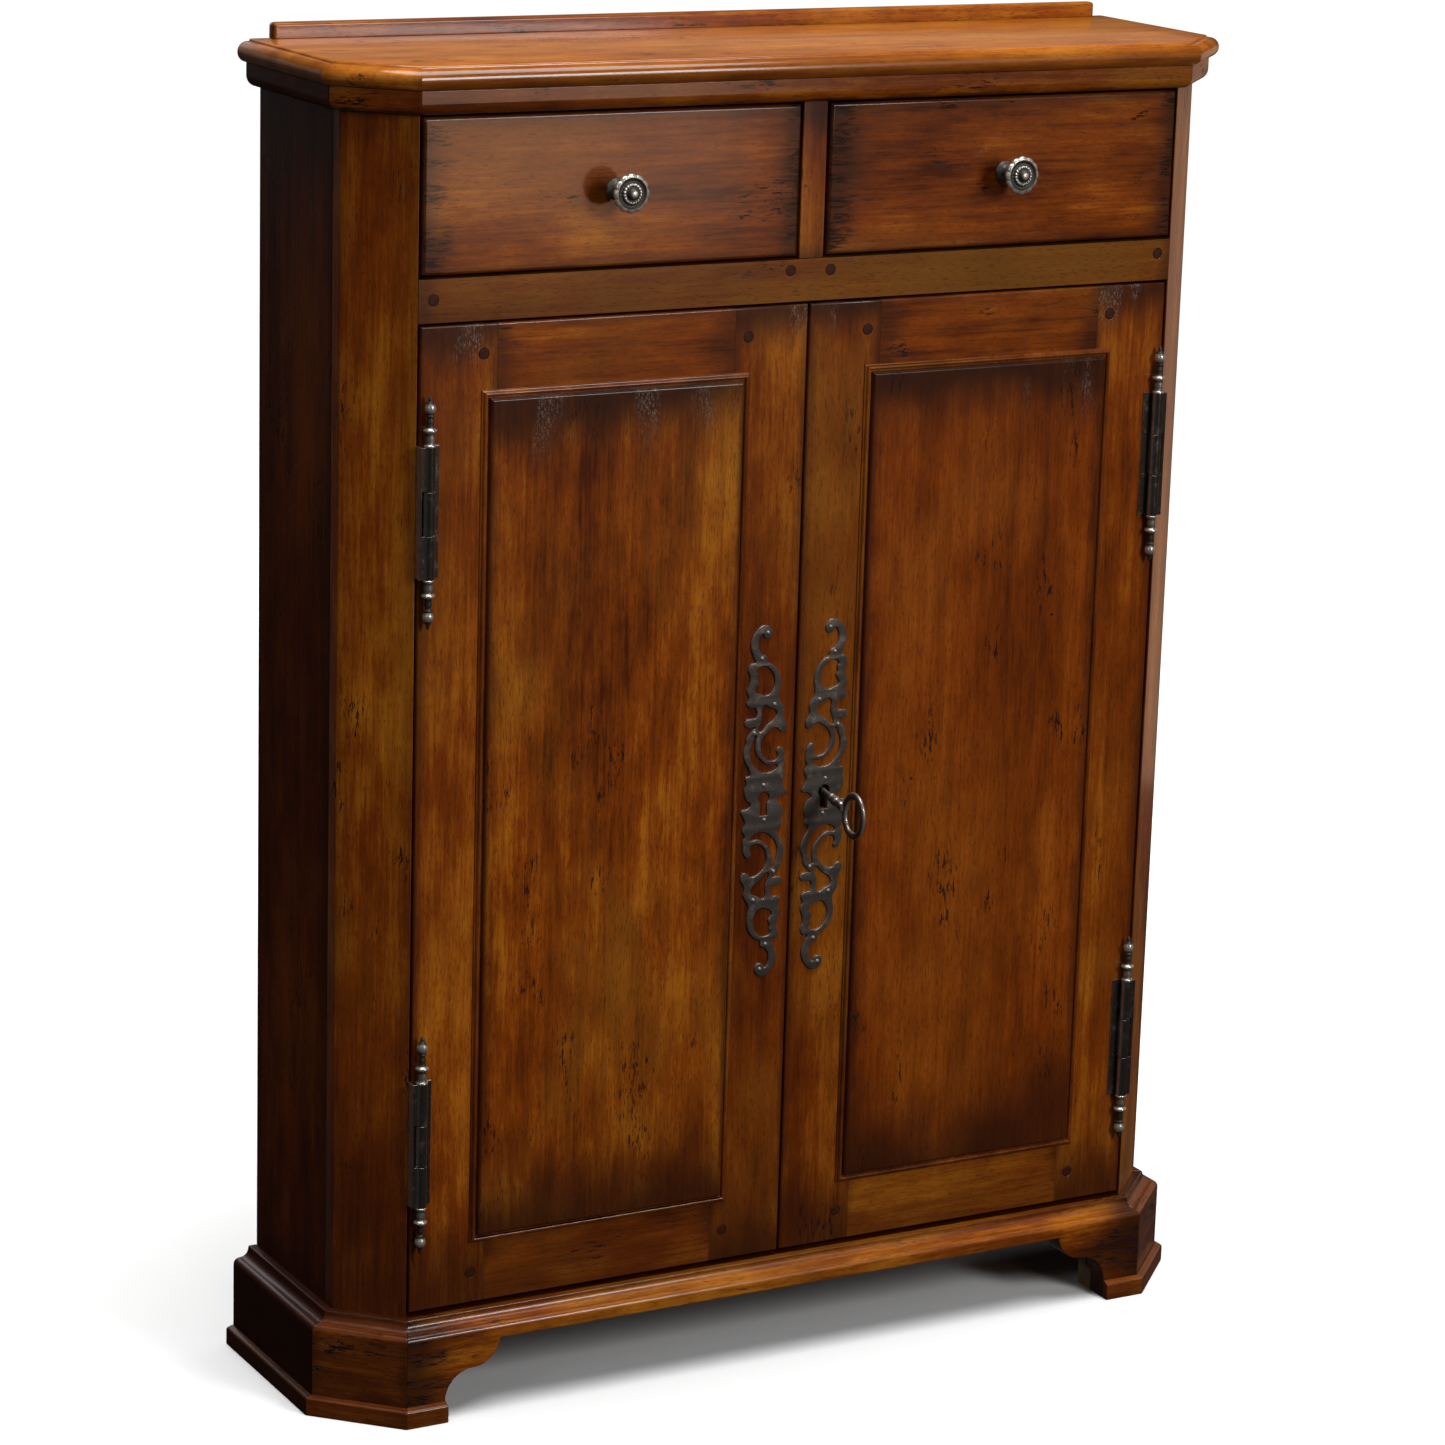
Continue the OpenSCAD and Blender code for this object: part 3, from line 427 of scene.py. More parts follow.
def frontEdge(low):
    # True for the edges that bound a piece's front face.
    return lambda e: all(abs(v.co.y - low.y) < nearly for v in e.verts)


def plank(node, body, material, slot="walnut", soften=0.9 * mm, front=0.0):
    low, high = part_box(node)
    bm = bmesh.new()
    boxMesh(bm, low, high)
    if front:
        roundEdges(bm, front, frontEdge(low))
    place(node + "_piece", bm, body, [node], slot, material, soften)


def softened(node, body, material, slot="walnut", soften=0.8 * mm, angle=30):
    # A CAD node's own shape with its triangles merged and its arrises eased.
    bm = bmesh.new()
    bm.from_mesh(frame["nodes"][node].data)
    bmesh.ops.remove_doubles(bm, verts=bm.verts, dist=2e-6)
    bmesh.ops.dissolve_limit(bm, angle_limit=radians(1.0), verts=bm.verts, edges=bm.edges)
    place(node + "_piece", bm, body, [node], slot, material, soften, angle)


def sweepStrip(bm, i, profile):
    # A mitred strip along edge i of the case; profile points are (outward, height).
    corners = [(outline(o)[i], outline(o)[i + 1]) for o, z in profile]
    start = [bm.verts.new((a.x, a.y, z)) for (a, b), (o, z) in zip(corners, profile)]
    end = [bm.verts.new((b.x, b.y, z)) for (a, b), (o, z) in zip(corners, profile)]
    loops = []
    for ring in (start, end):
        loops += [bm.edges.new((ring[k], ring[(k + 1) % len(ring)])) for k in range(len(ring))]
    bmesh.ops.bridge_loops(bm, edges=loops)
    half = len(loops) // 2
    bmesh.ops.contextual_create(bm, geom=loops[:half])
    bmesh.ops.contextual_create(bm, geom=loops[half:])


def arc(cx, cz, r, a0, a1, steps=8):
    return [(cx + r * cos(radians(a0 + (a1 - a0) * k / steps)),
             cz + r * sin(radians(a0 + (a1 - a0) * k / steps))) for k in range(steps + 1)]


def spun(bm, profile, origin, axis, steps=48):
    # Turns a (radius, reach) profile round an axis through origin; both its ends lie on the axis.
    axis = Vector(axis).normalized()
    side = axis.orthogonal().normalized()
    points = [bm.verts.new(origin + side * r + axis * h) for r, h in profile]
    edges = [bm.edges.new(pair) for pair in zip(points, points[1:])]
    bmesh.ops.spin(bm, geom=points + edges, cent=origin, axis=axis, angle=2 * pi, steps=steps,
                   use_merge=True)


def ridgeAttribute(piece, measure):
    # Stores how far out each point stands, 0 in a hollow and 1 on a ridge.
    layer = piece.data.attributes.new("ridge", "FLOAT", "POINT")
    for vertex, datum in zip(piece.data.vertices, layer.data):
        datum.value = measure(vertex.co)


lowTop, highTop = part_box("top_board")
lowBed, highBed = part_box("bed_moulding")
endBurn = (("-Z", 0.16, 0.75), ("+Z", 0.10, 0.8))

# Painted shade: the left side panel takes the shaded walnut colours because it faces away from the lamps.
plank("left_side_panel", "case", walnut("left_side_wood", "Z", *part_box("left_side_panel"), **shadeLook,
                                        burns=(("-Z", 0.12, 0.7), ("+Z", 0.12, 0.6))), "walnut_shade")
plank("right_side_panel", "case", walnut("right_side_wood", "Z", *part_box("right_side_panel"),
                                         burns=endBurn, dark=(0.08, 0.016, 0.002),
                                         mid=(0.19, 0.040, 0.0022), light=(0.34, 0.095, 0.007)))
softened("left_corner_post", "case", walnut(
    "left_post_wood", "Z", *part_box("left_corner_post"), canted=True, golden=0.15, edge=0.3,
    mid=(0.24, 0.045, 0.0015), burns=(("-Z", 0.5, 0.7), ("+Z", 0.05, 0.7))), soften=1.4 * mm)
softened("right_corner_post", "case", walnut(
    "right_post_wood", "Z", *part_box("right_corner_post"), canted=True, edge=0.3,
    burns=(("-Z", 0.25, 0.7), ("+Z", 0.12, 0.85))), soften=1.4 * mm)

topLook = {"nose": 9 * mm, "noseOut": 21 * mm, "step": 2 * mm, "stepIn": 10 * mm,
           "overlap": 3 * mm, "arris": 1.6 * mm}


def makeTop():
    bm = bmesh.new()
    zLow, zHigh = lowTop.z, highTop.z - topLook["step"]
    ring = [bm.verts.new((p.x, p.y, zLow)) for p in outline(topLook["noseOut"])]
    face = bm.faces.new(ring)
    made = bmesh.ops.extrude_face_region(bm, geom=[face])["geom"]
    bmesh.ops.translate(bm, verts=[v for v in made if isinstance(v, bmesh.types.BMVert)],
                        vec=(0, 0, zHigh - zLow))
    back = plan["back"] - nearly
    roundEdges(bm, topLook["nose"] - 2e-5, lambda e: abs(e.verts[0].co.z - e.verts[1].co.z) < 1e-6
               and not all(v.co.y > back for v in e.verts), 9)
    step = bmesh.new()
    ring = [step.verts.new((p.x, p.y, zHigh - topLook["overlap"]))
            for p in outline(topLook["stepIn"])]
    made = bmesh.ops.extrude_face_region(step, geom=[step.faces.new(ring)])["geom"]
    bmesh.ops.translate(step, verts=[v for v in made if isinstance(v, bmesh.types.BMVert)],
                        vec=(0, 0, highTop.z - zHigh + topLook["overlap"]))
    roundEdges(step, topLook["arris"], lambda e: all(v.co.z > highTop.z - nearly for v in e.verts)
               and not all(v.co.y > back for v in e.verts), 3)
    joined(bm, step)
    wood = walnut("top_wood", "X", lowTop, highTop, edge=0.45, edgeReach=0.016, golden=0.2,
                  rough=0.30, coat=0.6, burns=(("+Y", 0.05, 0.7),),
                  dark=(0.20, 0.045, 0.004), mid=(0.50, 0.14, 0.012), light=(0.74, 0.28, 0.030))
    place("top_board_piece", bm, "case", ["top_board"], "walnut", wood, angle=40)


makeTop()
plank("gallery_rail", "case", walnut("gallery_wood", "X", *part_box("gallery_rail"), edge=0.5,
                                     edgeReach=0.006), soften=3 * mm)


def bedProfile():
    z = lowBed.z
    return ([(0, highBed.z), (0, z), (2.2 * mm, z)] + [(x * mm, z + h * mm) for x, h in (
        arc(3, 10, 10, -80, 0, 8))] + [(13 * mm, highBed.z)])


def makeStrips(name, nodes, profile, edges, material, slot="walnut"):
    bm = bmesh.new()
    for i in edges:
        sweepStrip(bm, i, profile)
    place(name, bm, "case", nodes, slot, material, 0.8 * mm, 50)


bedLook = {"edge": 0.25, "edgeReach": 0.012, "burns": (("-Z", 0.006, 0.7),)}
makeStrips("bed_front", ["bed_moulding"], bedProfile(), [2], walnut(
    "bed_front_wood", "X", lowBed, highBed, **bedLook))
makeStrips("bed_cants", [], bedProfile(), [1, 3], walnut(
    "bed_cant_wood", "X", lowBed, highBed, canted=True, **bedLook))
# Painted shade: the sides of the bed moulding take the shaded walnut colours.
makeStrips("bed_sides", [], bedProfile(), [0, 4], walnut(
    "bed_side_wood", "Y", lowBed, highBed, **{**shadeLook, **bedLook}))
plank("top_rail", "case", walnut("top_rail_wood", "X", *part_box("top_rail")))
plank("drawer_divider", "case", walnut("divider_wood", "Z", *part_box("drawer_divider"),
                                       burns=(("-Z", 0.03, 0.7), ("+Z", 0.05, 0.85)), edge=0.7,
                                       edgeReach=0.008))
softened("drawer_rail", "case", walnut(
    "drawer_rail_wood", "X", *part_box("drawer_rail"), edge=0.5, edgeReach=0.010, golden=0.7,
    mid=(0.31, 0.080, 0.0022),
    burns=(("-X", 0.05, 0.8), ("+X", 0.05, 0.8))))
print("carcase made")


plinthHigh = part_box("right_plinth_side")[1]
plinthShape = {"out": 23, "footReturn": 38}      # mm: reach past the case, length of shoe under a foot


def plinthProfile():
    h = plinthHigh.z / mm
    points = [(0, 0), (plinthShape["out"], 0), (plinthShape["out"], h - 16)]
    points += arc(17, h - 16, 6, 12, 84, 6)
    points += [(16.5, h - 10)]
    points += arc(16.5, h - 2, 8, 262, 188, 6)
    points += [(8.5, h - 2), (8, h - 0.6), (7, h), (0, h)]
    return [(o * mm, z * mm) for o, z in points]


baseDark = {"dark": (0.032, 0.006, 0.0008), "mid": (0.115, 0.024, 0.0018),
            "light": (0.25, 0.066, 0.006), "golden": 0.1, "fleck": 1.3, "coat": 0.6}
# Painted shade: still darker colours for the left plinth side and the left shoe, which face away from the
# lamps.
shadedSideLook = {**shadeLook, "mid": (0.030, 0.006, 0.001), "light": (0.06, 0.014, 0.002)}
plinthLook = {"edge": 0.5, "edgeReach": 0.014, "burns": (("-Z", 0.05, 0.75),)}
cracked = {"cracks": (("-X", 0.09), ("+X", 0.09))}
for side, i, slot, colours in (("left", 0, "walnut_shade", shadedSideLook),
                               ("right", 4, "walnut", baseDark)):
    node = side + "_plinth_side"
    makeStrips(node + "_piece", [node], plinthProfile(), [i], walnut(
        side + "_plinth_wood", "Y", *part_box(node), **{**colours, **plinthLook}), slot)
makeStrips("plinth_cants_piece", ["plinth_cants"], plinthProfile(), [1, 3], walnut(
    "plinth_cant_wood", "X", *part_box("plinth_cants"), **{**baseDark, **plinthLook, **cracked},
    canted=True))
softened("plinth_front", "case", walnut("plinth_front_wood", "X", *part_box("plinth_front"), **{
    **plinthLook, "burns": (("-Z", 0.055, 0.85), ("-X", 0.09, 0.9), ("+X", 0.09, 0.9)),
    "dark": (0.055, 0.0095, 0.0008), "mid": (0.20, 0.042, 0.0022), **cracked}),
    soften=1.0 * mm, angle=28)
shoeProfile = [(o * mm, z * mm) for o, z in ((23, 0), (30, 0), (30, 14.5), (29.3, 15.8), (27.8, 16.8),
                                             (23, 18))]
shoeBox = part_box("shoe_strips")
# Painted shade: the left length of shoe takes the still darker shaded side colours.
makeStrips("shoe_left", ["shoe_strips"], shoeProfile, [0], walnut(
    "shoe_left_wood", "Y", *shoeBox, **{**shadedSideLook, "edge": 0.1}))
makeStrips("shoe_right", [], shoeProfile, [4], walnut(
    "shoe_right_wood", "Y", *shoeBox, **{**baseDark, "edge": 0.1}))
makeStrips("shoe_cants", [], shoeProfile, [1, 3], walnut(
    "shoe_cant_wood", "X", *shoeBox, **{**baseDark, "edge": 0.1}, canted=True))


def makeShoeReturns():
    # The short lengths of shoe on the front of each foot.
    bm = bmesh.new()
    sweepStrip(bm, 2, shoeProfile)
    corner = plan["halfFace"] + plinthShape["out"] * mm * tan(radians(22.5))
    inner = corner - plinthShape["footReturn"] * mm
    for sign in (-1, 1):
        bmesh.ops.bisect_plane(bm, geom=bm.verts[:] + bm.edges[:] + bm.faces[:],
                               plane_co=(sign * inner, 0, 0), plane_no=(sign, 0, 0))
    middle = [v for v in bm.verts if abs(v.co.x) < inner - 1e-4]
    bmesh.ops.delete(bm, geom=middle, context="VERTS")
    crossing = [e for e in bm.edges if abs(e.verts[0].co.x - e.verts[1].co.x) > inner]
    bmesh.ops.delete(bm, geom=crossing, context="EDGES")
    rims = [e for e in bm.edges if e.is_boundary]
    bmesh.ops.holes_fill(bm, edges=rims, sides=0)
    wood = walnut("shoe_return_wood", "X", *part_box("shoe_strips"), **{**baseDark, "edge": 0.1})
    place("shoe_returns", bm, "case", [], "walnut", wood, 0.8 * mm, 50)


makeShoeReturns()
print("plinth made")

# Painted shade: the inside boards and the plinth back take the shaded walnut colours; the runners and foot
# blocks take the plain lining colours.
insideWoods = {
    "bottom_board": ("X", shadeLook), "shelf": ("X", shadeLook),
    "shelf_bearers": ("Y", shadeLook), "plinth_back": ("X", shadeLook),
    "drawer_runners": ("Y", plainLook), "foot_blocks": ("Z", plainLook),
}
for node, (grain, look) in insideWoods.items():
    softened(node, "case", walnut(node + "_wood", grain, *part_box(node), **look),
             "lining_wood" if look is plainLook else "walnut_shade", 0.6 * mm)

backLook = {**shadeLook, "dark": (0.032, 0.0085, 0.0026), "mid": (0.088, 0.026, 0.0085),
            "light": (0.155, 0.052, 0.018), "coat": 0.0, "rough": 0.62, "edge": 0.3, "fleck": 1.3}


def makeBack():
    # Upright boards butted together, their arrises eased at each joint.
    low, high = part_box("back_panel")
    boards, gap = 6, 0.2 * mm
    width = (high.x - low.x) / boards
    bm = bmesh.new()
    for k in range(boards):
        x = low.x + k * width
        boxMesh(bm, Vector((x + gap, low.y, low.z)), Vector((x + width - gap, high.y, high.z)))
    wood = walnut("back_wood", "Z", low, high, **{**backLook, "boards": width})
    place("back_boards", bm, "case", ["back_panel"], "walnut_shade", wood, 1.2 * mm)


makeBack()

knobShape = {
    # (radius, reach from the drawer's face) in mm: foot, stem, collar, dished head, button.
    "profile": ((0, 0.2), (9, 0.2), (9.4, 0.8), (9, 1.6), (7, 2.3), (5.2, 3.6), (4.3, 6), (4.2, 11.6),
                (5.4, 12.6), (6.1, 13.6), (6.1, 14.8), (5.2, 16), (4.7, 17), (5.2, 19.4), (7.4, 22.4),
                (10.6, 24.4), (13.8, 25.6), (16.2, 26.6), (17, 27.8), (16.9, 29.2), (16, 30.5),
                (14.6, 31.3), (13.3, 31.4), (12.4, 30.8), (11.8, 29.9), (10.9, 29.7), (9.9, 29.8),
                (9.3, 30.6), (8.8, 31.9), (8.1, 32.7), (7.3, 32.8), (6.6, 32.3), (6.1, 31.6),
                (5.5, 31.7), (5.1, 32.8), (4.7, 34), (3.9, 35), (2.7, 35.7), (1.3, 36), (0, 36)),
    "scallops": 12,
    "notch": 1.5,
    "lobed": (12.6, 4.4),         # where the lobes of the rim begin, and how wide they are
    "roped": (6.2, 9.7, 30),      # the roped ring: its inner and outer radius, and the least reach
    "strands": 18,
    "rope": 0.8,
    "crests": ((15.5, 2.2), (7.8, 1.3), (0, 4.2)),      # bright ridges: radius, half-width
    "dull": (24, 0.25),           # the stem below this reach has this share of brightness
}
pewter = turnedMetal("pewter_paint", (0.070, 0.060, 0.050), (0.82, 0.77, 0.68), 0.24)


def makeKnob(side):
    low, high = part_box(side + "_knob")
    foot = Vector(((low.x + high.x) / 2, high.y, (low.z + high.z) / 2))
    bm = bmesh.new()
    spun(bm, [(r * mm, h * mm) for r, h in knobShape["profile"]], foot, (0, -1, 0), 144)
    lobedFrom, lobedWidth = knobShape["lobed"]
    ropeIn, ropeOut, ropeReach = (k * mm for k in knobShape["roped"])
    for v in bm.verts:
        out = Vector((v.co.x - foot.x, 0, v.co.z - foot.z))
        turn = out.angle(Vector((1, 0, 0)), 0)
        if out.length > lobedFrom * mm:
            lobe = abs(cos(turn * knobShape["scallops"] / 2)) ** 0.6
            depth = (out.length / mm - lobedFrom) / lobedWidth
            v.co -= out.normalized() * knobShape["notch"] * mm * (1 - lobe) * depth
        elif ropeIn < out.length < ropeOut and foot.y - v.co.y > ropeReach:
            v.co.y += knobShape["rope"] * mm * (0.5 + 0.5 * cos(turn * knobShape["strands"]))
    piece = place(side + "_knob_piece", bm, side + "_drawer", [side + "_knob"], "pewter", pewter,
                  angle=60)

    def ridge(co):
        r = sqrt((co.x - foot.x) ** 2 + (co.z - foot.z) ** 2) / mm
        h = (foot.y - co.y) / mm
        if h < knobShape["dull"][0]:
            return knobShape["dull"][1]
        crest = max(1 - abs(r - middle) / half for middle, half in knobShape["crests"])
        return min(1.0, max(0.0, crest) * 1.3)
    ridgeAttribute(piece, ridge)


for side in ("left", "right"):
    drawer = side + "_drawer"
    low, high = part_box(drawer + "_front")
    wood = walnut(drawer + "_wood", "X", low, high, edge=0.6, edgeReach=0.020, fleck=1.2,
                  burns=(("-X", 0.045, 0.85), ("+X", 0.045, 0.85)), golden=0.3,
                  cracks=(("-X", 0.035), ("+X", 0.022)))
    plank(drawer + "_front", drawer, wood, soften=0.6 * mm, front=3.2 * mm)
    for part, grain in (("_sides", "Y"), ("_back", "X"), ("_bottom", "X")):
        softened(drawer + part, drawer, walnut(drawer + part + "_wood", grain,
                                               *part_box(drawer + part), **plainLook), "lining_wood",
                 0.6 * mm)
    makeKnob(side)
    frame["nodes"][side + "_knob_screw"].data.materials.clear()
    frame["nodes"][side + "_knob_screw"].data.materials.append(
        ironPaint(side + "_screw_paint", rim=0.3))
print("drawers made")


doorWoods = {
    "hinge_stile": {"burns": (("-Z", 0.14, 0.8), ("+Z", 0.06, 0.85)), "edge": 0.6,
                    "edgeReach": 0.016, "checks": (("+Z", 0.05),),
                    "mid": (0.215, 0.042, 0.0015), "light": (0.46, 0.14, 0.008)},
    "lock_stile": {"burns": (("-Z", 0.14, 0.8), ("+Z", 0.055, 0.85)), "edge": 0.55,
                   "edgeReach": 0.016, "checks": (("+Z", 0.05),),
                   "mid": (0.185, 0.035, 0.0013), "light": (0.40, 0.12, 0.007)},
    "door_rails": {"burns": (("-Z", 0.15, 0.6), ("-X", 0.04, 0.6), ("+X", 0.04, 0.6)), "edge": 0.4,
                   "edgeReach": 0.014},
    "door_panel": {"burns": (("-Z", 0.15, 0.85), ("+Z", 0.085, 0.95), ("-X", 0.018, 0.6),
                             ("+X", 0.018, 0.6)), "edge": 0.75, "edgeReach": 0.012, "golden": 0.5,
                   "figure": 1.1, "checks": (("+Z", 0.07),)},
}
panelShape = {
    # in mm: how far the field stops inside the moulding's box, its thickness and its rounded arris,
    # and how far the part behind it stops inside the panel's box
    "rim": 7, "field": 5.5, "arris": 3.0, "inset": 9,
    "shaded": 20,       # depth behind the field that its shading reaches
}


def panelPiece(side):
    # The raised field with its eased arris, standing on the part that fills the frame.
    node = side + "_door_panel"
    low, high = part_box(node)
    mLow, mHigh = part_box(side + "_panel_moulding")
    rim, thick, inset = (panelShape[k] * mm for k in ("rim", "field", "inset"))
    field = (Vector((mLow.x + rim, low.y, mLow.z + rim)),
             Vector((mHigh.x - rim, low.y + thick, mHigh.z - rim)))
    inner = (Vector((low.x + inset, low.y + thick, low.z + inset)),
             Vector((high.x - inset, high.y, high.z - inset)))
    look = dict(doorWoods["door_panel"])
    if side == "right":
        look.update(golden=0.12, figure=0.85, mid=(0.20, 0.037, 0.0015),
                    light=(0.36, 0.085, 0.005))
    behind = Vector((0, panelShape["shaded"] * mm, 0))
    wood = walnut(side + "_panel_wood", "Z", field[0], field[1] + behind, **look)
    bm = bmesh.new()
    boxMesh(bm, *field)
    roundEdges(bm, panelShape["arris"] * mm, frontEdge(field[0]), 5)
    boxMesh(bm, *inner)
    place(node + "_piece", bm, side + "_door", [node], "walnut", wood, 0.5 * mm)


# Section of the panel moulding in mm: (in from its outer edge, forward of the frame).
beadProfile = ((0, 0.2), (0, 0.9), (0.5, 1.4), (1.3, 1.4), (1.6, 1.7), (1.8, 2.8), (2.4, 3.6),
               (3.2, 3.9), (4.1, 3.6), (4.8, 2.8), (5.0, 1.7), (5.3, 1.2), (6.4, 1.2), (7, 1.0),
               (7, 0.2))


def mouldingPiece(side):
    # Four mitred lengths round the panel.
    node = side + "_panel_moulding"
    low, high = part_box(node)
    bm = bmesh.new()
    for i in range(4):
        loops = []
        for corner in (i, (i + 1) % 4):
            ring = []
            for u, out in beadProfile:
                x = (low.x + u * mm) if corner in (0, 3) else (high.x - u * mm)
                z = (low.z + u * mm) if corner in (0, 1) else (high.z - u * mm)
                ring.append(bm.verts.new((x, high.y - out * mm, z)))
            loops.append([bm.edges.new((ring[k], ring[(k + 1) % len(ring)]))
                          for k in range(len(ring))])
        bmesh.ops.bridge_loops(bm, edges=loops[0] + loops[1])
        bmesh.ops.contextual_create(bm, geom=loops[0])
        bmesh.ops.contextual_create(bm, geom=loops[1])
    wood = walnut(side + "_moulding_wood", "Z", low, high, edge=0.0, fleck=0.4,
                  dark=(0.05, 0.010, 0.0015), mid=(0.16, 0.036, 0.004), light=(0.34, 0.09, 0.012))
    place(node + "_piece", bm, side + "_door", [node], "walnut", wood, angle=50)


pegShape = {
    # (radius, reach from the peg's inner end) in mm: a peg a little proud of the wood, its arris eased
    "profile": ((0, 0), (4.8, 0), (4.8, 7.6), (4.4, 8.1), (0, 8.25)),
    "depth": 8,
    "apart": 12,
}


def pegMiddles(node):
    # The middle (x, z) of each separate peg of the node.
    pegs = []
    for v in frame["nodes"][node].data.vertices:
        point = Vector((v.co.x, v.co.z))
        same = [peg for peg in pegs if (peg[0] - point).length < pegShape["apart"] * mm]
        if same:
            same[0].append(point)
        else:
            pegs.append([point])
    return [[(min(p[k] for p in peg) + max(p[k] for p in peg)) / 2 for k in (0, 1)] for peg in pegs]


def pegPieces(node, body):
    bm = bmesh.new()
    profile = [(r * mm, h * mm) for r, h in pegShape["profile"]]
    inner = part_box(node)[0].y + pegShape["depth"] * mm
    for x, z in pegMiddles(node):
        spun(bm, profile, Vector((x, inner, z)), (0, -1, 0), 20)
    p = Paint(node + "_wood")
    spot = p.place()
    grime = p.noise(spot, 420, 3.0, 0.6)
    colour = p.blend(grime.clamped(), (0.008, 0.0024, 0.001), (0.070, 0.017, 0.004))
    material = p.finish(colour, 0.5, grime * 0.15, fixed={"Specular IOR Level": 0.15})
    place(node + "_piece", bm, body, [node], "peg_wood", material, angle=40)


for side in ("left", "right"):
    door = side + "_door"
    for part, grain in (("hinge_stile", "Z"), ("lock_stile", "Z"), ("door_rails", "X")):
        node = side + "_" + part
        low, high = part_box(node)
        if part == "door_rails":        # their box holds the hidden tenons; they show between the stiles
            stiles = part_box(side + "_hinge_stile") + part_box(side + "_lock_stile")
            inner = sorted(corner.x for corner in stiles)
            low = Vector((inner[1], low.y, low.z))
            high = Vector((inner[2], high.y, high.z))
        wood = walnut(node + "_wood", grain, low, high, **doorWoods[part])
        softened(node, door, wood, soften=0.55 * mm)
    panelPiece(side)
    mouldingPiece(side)
    pegPieces(side + "_door_pegs", door)
pegPieces("rail_pegs", "case")
print("doors made")


hingeIron = ironPaint("hinge_iron", base=(0.085, 0.073, 0.063), bright=(0.55, 0.50, 0.44), rust=0.35,
                      rough=0.24, metallic=0.85)
pinIron = turnedMetal("pin_iron", (0.055, 0.046, 0.040), (0.62, 0.57, 0.50), 0.22)
hingeShape = {
    "height": 114,      # of the three knuckles together, mm
    "pin": 2.5,
    "ridge": (3.2, 1.6),        # radius where the finial begins to be bright, and the step to its brightest
    # (radius, height above the knuckle) in mm
    "finial": ((0, 0.05), (4.8, 0.05), (5.3, 0.6), (5.3, 1.4), (4.6, 2.0), (3.7, 3.0), (3.9, 5),
               (4.1, 8), (3.7, 10), (3.5, 11.4), (4.6, 12.5), (5.9, 13.3), (6.0, 14.2), (5.8, 15),
               (4.4, 15.8), (3.3, 17), (2.9, 19), (3.3, 21), (3.2, 23), (2.6, 24.5), (2.7, 25.6),
               (3.6, 26.4), (3.5, 27.3), (3.0, 28), (4.1, 29.5), (4.8, 31.5), (4.9, 33.5),
               (4.3, 35.6), (3.2, 37.4), (2.2, 38.6), (1.8, 39.6), (2.0, 40.4), (1.3, 42),
               (0.5, 43.6), (0, 44)),
}


def makePins():
    low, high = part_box("hinge_pins")
    leafLow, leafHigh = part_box("frame_hinge_leaves")
    half, pin = hingeShape["height"] * mm / 2, hingeShape["pin"] * mm
    finial = [(r * mm, h * mm) for r, h in hingeShape["finial"]]
    bm = bmesh.new()
    reach = (high.y - low.y) / 2
    middles = []
    for x in (low.x + reach, high.x - reach):
        for z in (leafLow.z + half, leafHigh.z - half):
            middle = Vector((x, low.y + reach, z))
            spun(bm, [(0, -half), (pin, -half), (pin, half), (0, half)], middle, (0, 0, 1), 24)
            for up in (-1, 1):
                spun(bm, finial, middle + Vector((0, 0, up * half)), (0, 0, up), 32)
            middles.append(middle)
    piece = place("hinge_pins_piece", bm, "case", ["hinge_pins"], "iron", pinIron, angle=60)

    def ridge(co):
        x, y, z = min(middles, key=lambda middle: (middle - co).length)
        r = sqrt((co.x - x) ** 2 + (co.y - y) ** 2) / mm
        start, step = hingeShape["ridge"]
        return min(1.0, max(0.0, (r - start) / step))
    ridgeAttribute(piece, ridge)


makePins()
softened("frame_hinge_leaves", "case", hingeIron, "iron", 0.35 * mm)
for side in ("left", "right"):
    softened(side + "_door_leaves", side + "_door", hingeIron, "iron", 0.35 * mm)
print("hinges made")


plateIron = ironPaint("plate_iron", base=(0.092, 0.080, 0.070), bright=(0.46, 0.42, 0.38), rim=0.75,
                      rust=0.3, rough=0.36)
nailIron = ironPaint("nail_paint", base=(0.20, 0.18, 0.165), bright=(0.66, 0.62, 0.58), rim=0.5)

